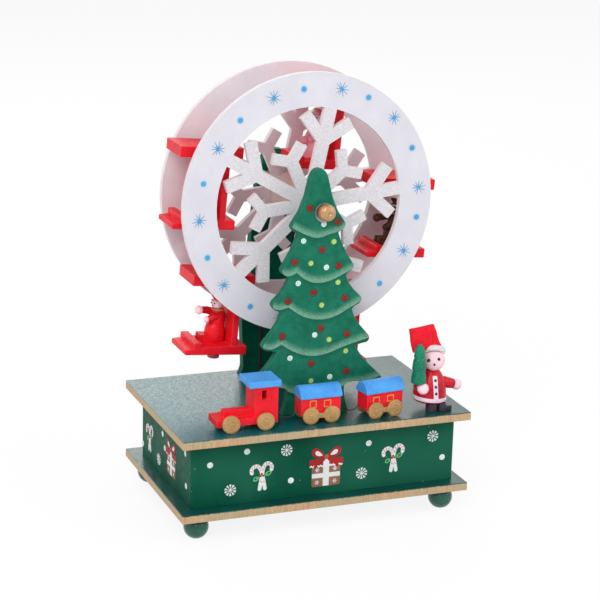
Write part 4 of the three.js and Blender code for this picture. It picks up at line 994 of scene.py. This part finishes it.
def add_parcel_print(parts, place):
    """A wrapped parcel with a bow: the toy's own generic print."""
    for tint, lift, corners in PARCEL_BLOCKS:
        parts[tint].mark(box_outline(*corners), lift, place)
    trim = [(-10.0 + 20.0 * i / 40, 0.75 + 0.45 * math.sin(i * math.pi / 2)) for i in range(41)]
    parts["white"].mark(stroke_outline(trim, 0.9, cap=4), 1.6, place)
    for side in (-1, 1):
        bow = [(0.0, 5.8), (2.6, 9.6), (6.8, 12.2), (9.3, 10.4), (8.2, 7.2), (4.2, 5.6), (0.0, 5.8)]
        loop = smooth_path([(side * u, v) for u, v in bow])[:-1]
        heart = [(side * 4.9 + (u - side * 4.9) * 0.5, 8.6 + (v - 8.6) * 0.5) for u, v in loop]
        parts["red"].mark(loop, 1.8, place)
        parts["white"].mark(heart, 2.1, place)
        tail = [(side * u, v) for u, v in ((0.8, 5.6), (3.0, 3.4), (5.6, 2.6), (7.0, 0.4))]
        parts["red"].mark(stroke_outline(smooth_path(tail), 1.5, (1.0, 1.25)), 2.2, place)
    parts["brown"].drop(round_outline(1.6, 0.0, 6.2, 16), 3, place)
    for spot in ((-5.6, -1.6), (5.6, -1.6), (-5.6, -9.4), (5.6, -9.4)):
        for ray in range(3):
            ends = crossing(spot, polar(1.2, math.pi * ray / 3), 1)
            parts["white"].mark(stroke_outline(ends, 0.5, cap=3), 1.4, place)


def make_wall_prints():
    corner = low("front_wall")
    planes = {
        "front": lambda u, v: front_plane(corner.y, u, v),
        "left": lambda u, v: left_plane(corner.x, -u, v),
    }
    for side, plane in planes.items():
        prints = WALL_PRINTS[side]
        parts = {tint: Shells() for tint in PRINT_SLOTS}
        for spot in prints["dots"]:
            parts["white"].drop(round_outline(DOT_RADIUS), 1.6, plane(*spot))
        for spot in prints["flakes"]:
            flake_wedges(parts["white"], plane(*spot))
        for spot in prints["canes"]:
            add_cane_print(parts, plane(*spot))
        add_parcel_print(parts, plane(*prints["parcel"]) @ Matrix.Scale(prints["parcel_scale"], 4))
        for tint, slot in PRINT_SLOTS.items():
            piece(f"{side}_wall_{tint}_prints", "base", f"{tint}_print", parts[tint])


# Tree
TREE_DOTS = {  # tint: slot, radius and places
    "red": ("red", 1.95, [
        (-6.9, 188.0), (10.8, 178.9), (1.4, 162.8), (-15.4, 156.5), (12.2, 152.6), (-3.1, 137.6),
        (16.7, 132.7), (-19.0, 133.5), (-22.0, 112.4), (18.8, 110.6), (2.1, 115.4), (-3.3, 94.2),
        (19.1, 87.5), (-28.0, 88.0)]),
    "white": ("white", 1.65, [
        (2.1, 178.0), (-10.2, 168.8), (4.5, 152.1), (-12.8, 143.7), (-1.6, 111.6), (-16.7, 98.7),
        (8.8, 84.9)]),
    "lime": ("tree_green", 1.65, [
        (8.7, 167.2), (-5.3, 155.2), (12.1, 142.5), (2.2, 129.5), (18.5, 100.0), (7.6, 108.0), (-3.1, 83.4)]),
}
DOT_RIM = 0.55


def make_tree_dots():
    face_y = low("front_tree").y
    rims = Shells()
    for tint, (slot, radius, places) in TREE_DOTS.items():
        outline, outer, inner, rim = (
            round_outline(r, sides=24) for r in (radius, radius * 0.56, radius * 0.34, radius + DOT_RIM))
        shells = Shells()
        for spot in places:
            plane = front_plane(face_y, *spot)
            shells.dome(outline, -SUNK, 0.28, plane, 0.8)
            shells.hoop(outer, inner, 0.0, 0.32, plane, 1.0)
            if tint == "red":
                rims.prism(rim, -SUNK, 0.08, plane)
        piece(f"tree_{tint}_dots", "base", f"{tint}_dot", shells)
    piece("tree_dot_rims", "base", "dot_rim", rims)


# Wheel. Angles and radii of the marks on the ring
STARS = [(5.3, 69.5), (43.5, 71.3), (75.1, 69.5), (110.7, 67.9), (148.1, 67.5), (185.0, 68.2), (220.7, 69.2),
         (256.0, 69.5), (292.0, 69.5), (332.4, 69.3)]
RING_DOTS = [(25.4, 71.0), (60.5, 70.9), (94.8, 68.3), (130.6, 67.9), (166.6, 67.6), (204.1, 68.8),
             (238.9, 69.5), (276.0, 69.5), (312.0, 69.5), (350.2, 70.0)]
STAR_RAYS = 10
STAR_REACH = 4.5
BEAD_RADIUS = 5.1
BEAD_LIFT = 0.9
BEAD_CUT_DEPTH = 0.75  # how far the darker cut front reaches


def on_wheel(angle, radius):
    """Where a point of the wheel is across and up, from its angle in degrees."""
    u, v = polar(radius, math.radians(angle))
    return WHEEL_X + u, WHEEL_Z + v


def make_ring_marks():
    front_y = low("front_disc").y
    stars, hearts, dots, halos = Shells(), Shells(), Shells(), Shells()
    draw = random.Random(7)
    for spot in STARS:
        place = front_plane(front_y, *on_wheel(*spot))
        lean = draw.uniform(0, 36)
        for ray in range(STAR_RAYS):
            run = math.radians(lean + ray * 360 / STAR_RAYS + draw.uniform(-6, 6))
            ends = [polar(0.5, run), polar(STAR_REACH * draw.uniform(0.82, 1.08), run)]
            stars.mark(stroke_outline(ends, 0.62, (1.0, 0.35), 3), 1, place)
        hearts.drop(round_outline(1.0, sides=12), 1.6, place)
    for spot in RING_DOTS:
        place = front_plane(front_y, *on_wheel(*spot))
        dots.drop(round_outline(1.75), 1.7, place)
        halos.mark(round_outline(2.5), 0.5, place)
    for name, shells in (("ring_stars", stars), ("ring_star_hearts", hearts), ("ring_dots", dots)):
        piece(name, "wheel", "blue_print", shells)
    piece("ring_dot_halos", "wheel", "pale_blue_print", halos)


def turned_spot(node, lift=0.0):
    """The front middle of a CAD node that was turned about Y, and its length."""
    lowest, highest = low(node), high(node)
    place = at((lowest.x + highest.x) / 2, lowest.y, (lowest.z + highest.z) / 2 + lift) @ ABOUT_Y
    return place, highest.y - lowest.y


def make_bead():
    place, depth = turned_spot("axle_bead", BEAD_LIFT)
    profile = [(0.0, 0.7), (0.6, 0.66), (1.0, 0.4), (1.25, 0.1)]
    for step in range(1, 19):
        height = 0.05 + (depth - 0.1) * step / 19
        profile.append((math.sqrt(max(0.0, BEAD_RADIUS ** 2 - (height - depth / 2) ** 2)), height))
    profile += [(2.5, depth), (0.0, depth)]
    shells = Shells().lathe(profile, place, 40)
    front_y = low("axle_bead").y
    shells.tones = [1.0 if point.y - front_y < BEAD_CUT_DEPTH else 0.0 for point in shells.points]
    piece("axle_gold_bead", "wheel", "bead", shells, stands_for=["axle_bead"])


def make_grip():
    place, length = turned_spot("crank_grip")
    bore, waist, full = 1.8, 3.4, 4.8
    profile = [(bore, 0.0), (waist - 0.4, 0.0), (waist, 0.35)]
    for step in range(1, 16):
        t = step / 16
        swell = math.sin(math.pi * min(1.0, t * 0.86)) ** 0.8
        profile.append((waist + (full - waist) * swell, 0.35 + (length - 0.9) * t))
    profile += [(waist, length - 0.35), (waist - 0.4, length), (bore, length), (bore, 0.0)]
    grip = Shells().lathe(profile, place, 40)
    piece("crank_red_grip", "grip", "red", grip, stands_for=["crank_grip"])


# Gondolas and riders
RIDER_X = 1.2
RIDER_SINK = 0.3
RIDERS = [  # robe's finish and slot, head's, hands', the far hand's reach and its drop below the head
    (("brown", "brown"), ("brown", "brown"), "brown", 11.5, 6.7),
    (("pink", "pink"), ("skin", "skin"), "pink", 7.5, 13.7),
    (("rider_red", "red"), ("skin", "skin"), "skin", 9, 9.7),
    (("rider_red", "red"), ("skin", "skin"), "skin", 10.5, 4.2),
    (("pink", "pink"), ("skin", "skin"), "pink", 9, 9.7),
]
SHOULDER_Z = 16.0
HEAD_Z = 22.3
HEAD_RADIUS = 3.5
BAND_STEPS = 24
SKIRT_PROFILE = [(0.0, -0.9), (4.9, -0.9), (5.7, -0.3), (6.15, 2.2), (6.2, 4.6), (6.0, 7.0), (5.4, 9.2),
                 (4.5, 10.6), (0.0, 11.0)]
CHEST_PROFILE = [(0.0, 9.0), (4.3, 9.2), (4.75, 10.6), (4.95, 12.4), (4.95, 14.6), (4.6, 16.6), (3.6, 18.4),
                 (2.7, 19.5), (0.0, 19.7)]


def neck_ring(x, z):
    angles = [2 * math.pi * step / BAND_STEPS for step in range(BAND_STEPS + 1)]
    return [(x + 3.3 * math.cos(a), 3.3 * math.sin(a), z) for a in angles]


def make_rider(index, gondola, body):
    robe_look, head_look, hand_look, reach, drop = RIDERS[index]
    seat = gondola @ at(RIDER_X, 0.0, -FLOOR_DROP + RIDER_SINK)
    robe, head, hands, collar, dots, cap, band = (Shells() for _ in range(7))
    robe.lathe(SKIRT_PROFILE, seat @ at(0.2, 0.0, 0.0), 36)
    robe.lathe(CHEST_PROFILE, seat @ at(1.3, 0.0, 0.0), 36)
    hand_z = HEAD_Z - drop
    far_elbow = (-reach * 0.45, 2.4, (SHOULDER_Z + hand_z) / 2 + 0.4)
    robe.tube([(-0.5, 3.2, SHOULDER_Z), far_elbow, (1.2 - reach, 0.6, hand_z)], [2.5, 2.3, 2.0], seat, 14)
    near_x, near_y = -reach * 0.52, -3.0
    near_z = hand_z - 5.2 if hand_z > 14 else hand_z + 1.0
    near_elbow = (-reach * 0.3, -3.6, (SHOULDER_Z + near_z) / 2)
    near_arm = [(-0.3, -3.4, SHOULDER_Z - 0.6), near_elbow, (near_x, near_y, near_z)]
    robe.tube(near_arm, [2.3, 2.2, 2.0], seat, 14)
    for y in (-4.1, 0.2):
        robe.prism(box_outline(-10.4, y, -2.0, y + 3.9, 0.9), -1.7, 3.9, seat)
    head.ball((0.4, 0.0, HEAD_Z), HEAD_RADIUS, seat)
    hands.ball((-reach, 0.4, hand_z), 2.6, seat, 20)
    hands.ball((near_x - 1.0, near_y - 0.2, near_z + 0.2), 1.9, seat, 20)
    collar.tube(neck_ring(1.0, 18.9), 0.7, seat, 10)
    face = seat @ at(0.0, 0.0, HEAD_Z) @ turned("Z", -62)
    for side in (-1, 1):
        dots.ball((side * 1.2, -HEAD_RADIUS * 0.93, 0.5), 0.45, face, 10)
    dots.ball((0.0, -HEAD_RADIUS * 0.99, -0.8), 0.32, face, 8)
    tip = [(x, 0.0, HEAD_Z + up) for x, up in ((0.5, 1.4), (0.2, 2.9), (-1.2, 4.3), (-3.2, 5.3))]
    cap.tube(tip, [3.25, 2.7, 1.6, 0.7], seat, 20)
    band.tube(neck_ring(0.4, HEAD_Z + 1.5), 0.55, seat, 10)
    name = f"rider_{index + 1}"
    piece(f"{name}_robe", body, robe_look[0], robe, 0.25, stands_for=[f"{body}_rider"])
    piece(f"{name}_head", body, head_look[0], head)
    piece(f"{name}_collar", body, "gold", collar)
    piece(f"{name}_hands", body, hand_look, hands)
    piece(f"{name}_face", body, "dark_dot", dots)
    piece(f"{name}_cap", body, robe_look[0], cap)
    piece(f"{name}_band", body, "fluff", band)


BOARD_LENGTH, BOARD_DEPTH = 38.3, 27.0
SEAT_SINK = 0.4  # how far the lip and the backrest reach into the floor
THIN_END = 3.0  # the floor's thickness at its left end
TAPER_MIDDLE = (-6.0, -0.8)  # where the floor's taper eases off, and how far its top lies down there
TAPER_START = 4.0
BACKREST_FACE, BACKREST_THICKNESS = 7.7, 4.0
BACKREST_TOP = -4.5
LIP_INSET, LIP_WIDTH, LIP_TOP = 5.2, 5.0, 1.6
WEIGHT_PROFILE = [(0.0, 0.2), (3.6, 0.2), (3.6, -3.6), (3.2, -4.0), (1.0, -4.1), (0.0, -3.8)]
WEIGHT_SHIFT, WEIGHT_Y = 1.9, -4.0


def make_seat(gondola, body, under):
    """The floor, planed thinner towards its left end, with the lip and the backrest that are glued on it."""
    left, right = FLOOR_SHIFT - BOARD_LENGTH / 2, FLOOR_SHIFT + BOARD_LENGTH / 2
    top = -FLOOR_DROP
    floor = [(left, under), (right, under), (right, top), (TAPER_START, top),
             (TAPER_MIDDLE[0], top + TAPER_MIDDLE[1]), (left, under + THIN_END)]
    lip_left = left + LIP_INSET
    lip = box_outline(lip_left, under + THIN_END - SEAT_SINK, lip_left + LIP_WIDTH, top + LIP_TOP)
    backrest = box_outline(BACKREST_FACE, top - SEAT_SINK, BACKREST_FACE + BACKREST_THICKNESS, BACKREST_TOP)
    seat = Shells()
    for outline in (floor, lip, backrest):
        seat.prism(outline, -BOARD_DEPTH / 2, BOARD_DEPTH / 2, gondola @ front_plane(0.0))
    piece(f"{body}_tapered_seat", body, "red", seat, 0.7, 3, stands_for=[f"{body}_seat"])


def make_gondolas():
    for index, body in enumerate(GONDOLAS):
        x, z = on_wheel(FIRST_ARM_ANGLE + index * 360 / GONDOLA_COUNT, PIN_CIRCLE_RADIUS)
        gondola = at(x, WHEEL_MIDDLE_Y, z) @ turned("Y", GONDOLA_LEANS[index])
        under = -FLOOR_DROP - FLOOR_THICKNESS
        make_seat(gondola, body, under)
        make_rider(index, gondola, body)
        place = gondola @ at(FLOOR_SHIFT + WEIGHT_SHIFT, WEIGHT_Y, under)
        piece(f"{body}_weight", body, "dusty_red", Shells().lathe(WEIGHT_PROFILE, place, 32))


# Train
LOCO_FRONT_Y, LOCO_DEPTH = -61.55, 15.6
LOCO_WHEELS = {"front": -59.4, "rear": -38.4}
LOCO_NEAR_RADIUS, LOCO_FAR_RADIUS = 5.3, 3.8
LOCO_RIM = [(-0.3, 0.0, 0), (0.0, 0.35, 0), (0.0, -0.45, 1), (-0.45, 0.0, 1)]
LOCO_GROOVE = [(0.66, 0.0), (0.62, -0.16), (0.56, 0.0)]
LOCO_END = [(1.05, 0.0), (1.0, 0.16), (0.7, 0.22), (0.0, 0.22)]
WAGON_RIM = [(-0.25, 0.0, 0), (0.0, 0.3, 0), (0.0, -0.4, 1), (-0.4, 0.0, 1)]
WAGON_GROOVE = [(0.64, 0.0), (0.6, -0.14), (0.54, 0.0)]
WAGON_END = [(0.95, 0.0), (0.9, 0.16), (0.0, 0.2)]
WAGONS = {"wagon_1": (-3.3, -60.65, 0.0), "wagon_2": (36.6, -61.95, 8.0)}
WAGON_WINDOWS = {
    "wagon_1": [((-7.1, 9.7), (-2.9, 14.2)), ((1.7, 9.5), (6.2, 13.9))],
    "wagon_2": [((-8.2, 9.4), (-3.6, 13.3)), ((1.4, 9.2), (6.1, 13.2))],
}
WAGON_DEPTH = 11.0
WAGON_WHEEL_RADIUS, WAGON_WHEEL_BASE = 5.1, 13.0
WAGON_TIE_HALF = 1.3
WINDOW_LINE = 0.5


def wheel_profile(radius, thick, rim, groove, end):
    """A turned wheel with a chamfer, a faint groove and the end of its axle."""
    profile = [(0.0, 0.0)]
    profile += [(radius + inset, thick * top + lift) for inset, lift, top in rim]
    profile += [(radius * share, thick + lift) for share, lift in groove]
    return profile + [(across, thick + lift) for across, lift in end]


def make_loco_wheels():
    back_y = LOCO_FRONT_Y + LOCO_DEPTH
    for name, x in LOCO_WHEELS.items():
        shells = Shells()
        for near, radius, y0, y1 in ((True, LOCO_NEAR_RADIUS, LOCO_FRONT_Y - 2.75, LOCO_FRONT_Y - 0.3),
                                     (False, LOCO_FAR_RADIUS, back_y + 0.3, back_y + 2.75)):
            place = at(x, y1 if near else y0, DECK_Z + radius) @ (turned("X", 90) if near else ABOUT_Y)
            shells.lathe(wheel_profile(radius, y1 - y0, LOCO_RIM, LOCO_GROOVE, LOCO_END), place, 40)
        shells.rod(1.0, LOCO_DEPTH + 1.4, at(x, LOCO_FRONT_Y - 0.7, DECK_Z + LOCO_NEAR_RADIUS) @ ABOUT_Y)
        piece(f"loco_{name}_turned_wheels", "base", "gold", shells,
              stands_for=[f"loco_{name}_wheels"])


def make_links():
    link = Shells()
    y, z = LOCO_FRONT_Y + 6.4, DECK_Z + 5.2
    for start, stop in ((-30.6, -15.4), (8.8, 23.2)):
        path = [(start - 0.8, 0.2), (start + 1.0, 0.1), (start + 3.6, -1.0), ((start + stop) / 2, -1.4),
                (stop - 3.6, -1.0), (stop - 1.0, 0.6), (stop + 0.8, 1.0)]
        link.tube(smooth_path([(x, y, z + up) for x, up in path], 5), 0.3, None, 10)
    piece("train_links", "base", "dark_steel", link)


def make_wagons():
    radius, half = WAGON_WHEEL_RADIUS, WAGON_WHEEL_BASE / 2
    for name, (x, y, turn) in WAGONS.items():
        wagon = at(x, y, DECK_Z) @ turned("Z", turn)
        shells = Shells()
        for near, y0, y1 in ((True, -2.0, -0.3), (False, WAGON_DEPTH + 0.3, WAGON_DEPTH + 2.0)):
            profile = wheel_profile(radius, y1 - y0, WAGON_RIM, WAGON_GROOVE, WAGON_END)
            for offset in (-half, half):
                spin = at(offset, y1 if near else y0, radius) @ (turned("X", 90) if near else ABOUT_Y)
                shells.lathe(profile, wagon @ spin, 40)
            tie = box_outline(-half, radius - WAGON_TIE_HALF, half, radius + WAGON_TIE_HALF)
            shells.prism(tie, -y1 + 0.12, -y0 - 0.12, wagon @ front_plane(0.0))
        shells.rod(1.0, WAGON_DEPTH + 1.4, wagon @ at(0.0, -0.7, radius) @ ABOUT_Y)
        piece(f"{name}_turned_wheels", "base", "gold", shells, stands_for=[f"{name}_wheels"])
        windows = Shells()
        far_side = wagon @ at(0, WAGON_DEPTH, 0) @ turned("Z", 180)
        for (u0, v0), (u1, v1) in WAGON_WINDOWS[name]:
            outer = box_outline(u0, v0, u1, v1, 0.4, 2)
            corners = (u0 + WINDOW_LINE, v0 + WINDOW_LINE, u1 - WINDOW_LINE, v1 - WINDOW_LINE)
            inner = box_outline(*corners, 0.2, 2)
            for side in (wagon, far_side):
                windows.hoop(outer, inner, -SUNK, PROUD, side @ front_plane(0.0))
        piece(f"{name}_window_lines", "base", "yellow_line", windows)


# Doll
DOLL = at(68.0, -55.15, DECK_Z)
DOLL_LEAN = DOLL @ turned("Y", 4.0)
DOLL_HEAD = (2.4, 0.0, 30.2)
DOLL_HEAD_RADIUS = 6.8
DOLL_FACE_TURN = -24.5
ROBE_PROFILE = [(0.0, 4.6), (6.9, 4.6), (9.0, 5.3), (9.85, 6.2), (10.1, 7.3), (10.2, 8.8), (9.9, 11.4),
                (9.3, 14.2), (8.5, 17.0), (7.4, 20.0), (6.1, 22.4), (5.0, 23.9), (4.0, 24.6), (0.0, 24.6)]
HEM_PROFILE = [(9.4, 6.5), (10.2, 6.6), (10.42, 7.3), (10.47, 8.2), (10.33, 8.9), (9.6, 9.1), (9.4, 6.5)]
STRIP_ROWS, STRIP_LOW, STRIP_HIGH = 15, 8.5, 22.2
SPRUCE_PROFILE = [
    (0.0, 0.0), (4.2, 0.0), (4.7, 0.5), (4.8, 1.6), (4.55, 4.4), (4.2, 6.8), (3.75, 7.7), (3.8, 8.0),
    (4.3, 8.5), (4.35, 9.4), (4.15, 12.0), (3.75, 14.8), (3.1, 15.9), (3.2, 16.2), (3.55, 16.8),
    (3.5, 17.8), (3.1, 20.2), (2.5, 22.4), (1.7, 23.9), (0.9, 24.7), (0.0, 25.0)]


def robe_radius(height):
    for (r0, h0), (r1, h1) in zip(ROBE_PROFILE, ROBE_PROFILE[1:]):
        if h0 <= height <= h1 and h1 > h0:
            return r0 + (r1 - r0) * (height - h0) / (h1 - h0)


def on_robe(height, degrees, lift):
    """A point on the robe's front, at an angle from straight ahead."""
    ahead, across = polar(robe_radius(height) + lift, math.radians(degrees))
    return across, -ahead, height


def robe_strip():
    """The white strip's loops, from the hem up to the neck."""
    loops = []
    for row in range(STRIP_ROWS + 1):
        height = STRIP_LOW + (STRIP_HIGH - STRIP_LOW) * row / STRIP_ROWS
        half = 9.6 * (1.0 if 0 < row < STRIP_ROWS else 0.8)
        inner, outer = [], []
        for step in range(5):
            angle = -1.0 - 6.0 * row / STRIP_ROWS + half * (step / 2 - 1) * 8.8 / robe_radius(height)
            inner.append(on_robe(height, angle, -0.2))
            outer.append(on_robe(height, angle, -0.2 + 0.3 * (1.0 if 0 < step < 4 else 0.75)))
        loops.append(inner + outer[::-1])
    return loops


def make_doll():
    robe = Shells().lathe(ROBE_PROFILE, DOLL_LEAN, 56)
    robe.tube([(5.0, -0.5, 16.6), (9.5, -0.4, 15.9), (15.6, -0.1, 14.2)], [3.7, 3.6, 3.0], DOLL, 20)
    robe.tube([(-6.0, -0.5, 16.6), (-8.2, -3.4, 15.9), (-7.4, -6.4, 15.4)], [3.3, 3.2, 2.7], DOLL, 20)
    piece("doll_robe", "base", "robe_red", robe, stands_for=["doll_body"])

    trim = Shells().lathe(HEM_PROFILE, DOLL_LEAN, 56)
    trim.wrap(robe_strip(), DOLL_LEAN, capped=True)
    piece("doll_white_trim", "base", "trim", trim)

    dark = Shells()
    for height, angle in ((12.1, -2.2), (16.0, -4.0), (19.7, -5.6)):
        dark.ball(on_robe(height, angle, 0.05), 0.85, DOLL_LEAN, 14)
    facing = DOLL @ at(*DOLL_HEAD) @ turned("Z", DOLL_FACE_TURN)
    for side, lift, sunk, radius, sides in ((-27.0, 11.5, 0.2, 1.1, 16), (28.5, 19.5, 0.2, 1.0, 16),
                                            (4, -8, 0.1, 0.75, 14)):
        a, e = math.radians(side), math.radians(lift)
        spot = Vector((math.sin(a) * math.cos(e), -math.cos(a) * math.cos(e), math.sin(e)))
        dark.ball(spot * (DOLL_HEAD_RADIUS - sunk), radius, facing, sides)
    piece("doll_dark_dots", "base", "dark_dot", dark)

    skin = Shells().ball((0.0, 0.0, 0.0), DOLL_HEAD_RADIUS, DOLL @ at(*DOLL_HEAD), 44, 0.97)
    skin.ball((18.2, 0.0, 13.4), 3.3, DOLL)
    skin.ball((-7.5, -8.0, 15.6), 3.5, DOLL)
    piece("doll_head_and_hands", "base", "skin", skin, stands_for=["doll_head"])

    boots = Shells()
    for corners, height in (((-3.2, -8.9, 2.4, -2.0, 1.8, 5), 5.2), ((3.7, -8.9, 8.6, -2.0, 1.8, 5), 5.2),
                            ((5.4, -8.0, 12.6, -2.6, 1.6, 5), 3.3)):
        boots.prism(box_outline(*corners), 0.0, height, DOLL)
    piece("doll_boots", "base", "black", boots, 0.5, 3)

    spot = DOLL @ at(-9.7, -6.0, 18.9) @ Matrix.Scale(0.96, 4)
    spruce = Shells().lathe(SPRUCE_PROFILE, spot, 40)
    spruce.rod(1.1, 3.6, spot @ at(0.0, 0.0, -3.4))
    piece("doll_spruce", "base", "small_green", spruce)


HAT_OUTLINE = [(-13.6, 5.4), (-4.5, 7.0), (4.0, 7.4), (3.7, 9.2), (1.5, 14.4), (0.4, 18.2), (-1.1, 21.4),
               (-1.8, 21.8), (-9.0, 20.8), (-16.3, 20.0), (-16.6, 19.7), (-15.9, 16.0), (-15.2, 11.0)]
HAT_THICKNESS = 4.0
HAT_LEVELS = [  # depth as a share of the thickness, and how far the outline is drawn in there
    (-0.6, 0.4), (-0.56, 0.72), (-0.5, 0.90), (-0.42, 0.965), (-0.2, 1.0),
    (0.2, 1.0), (0.42, 0.965), (0.5, 0.90), (0.56, 0.72), (0.6, 0.4)]
CROWN_PROFILE = [(0.0, 0.0), (5.4, 0.0), (5.7, 1.6), (5.0, 3.8), (3.4, 5.6), (0.0, 6.4)]
BAND_PLACE = at(0.2, 1.2, 4.6) @ turned("Y", 12) @ turned("X", -38)
BAND_RADIUS = 5.6
BAND_THICKNESS = 1.8


def make_hat():
    """A felt tube pressed flat and folded over to the left, with a fluffy band."""
    place = DOLL @ at(DOLL_HEAD[0], 0.0, DOLL_HEAD[2] + 0.3)
    outline = smooth_path(HAT_OUTLINE + [HAT_OUTLINE[0]])[:-1]
    loops = []
    for depth, share in HAT_LEVELS:
        loops.append([(u, depth * HAT_THICKNESS, v) for u, v in drawn_in(outline, share)])
    hat = Shells().wrap(loops, place, capped=True).lathe(CROWN_PROFILE, place @ BAND_PLACE, 40)
    piece("doll_felt_hat", "base", "felt", hat)

    draw = random.Random(11)
    loops = []
    for angle in circle_angles(56):
        loop = []
        for lift in circle_angles(12):
            out, up = polar(BAND_THICKNESS * (1.0 + draw.uniform(-0.09, 0.09)), lift)
            loop.append((*polar(BAND_RADIUS + out, angle), up))
        loops.append(loop)
    band = Shells().wrap(loops, place @ BAND_PLACE, closed=True)
    piece("doll_hat_band", "base", "fluff", band, subdivide=1)


make_camera()
make_stage()
make_lamps()
bpy.context.scene.view_settings.view_transform = "Standard"
look = make_materials()
for nodes, finish, bevel, segments in DRESSED:
    for node in nodes:
        dress(node, finish, bevel, segments)
make_feet()
make_wall_prints()
make_tree_dots()
make_ring_marks()
make_bead()
make_grip()
make_gondolas()
make_loco_wheels()
make_links()
make_wagons()
make_doll()
make_hat()
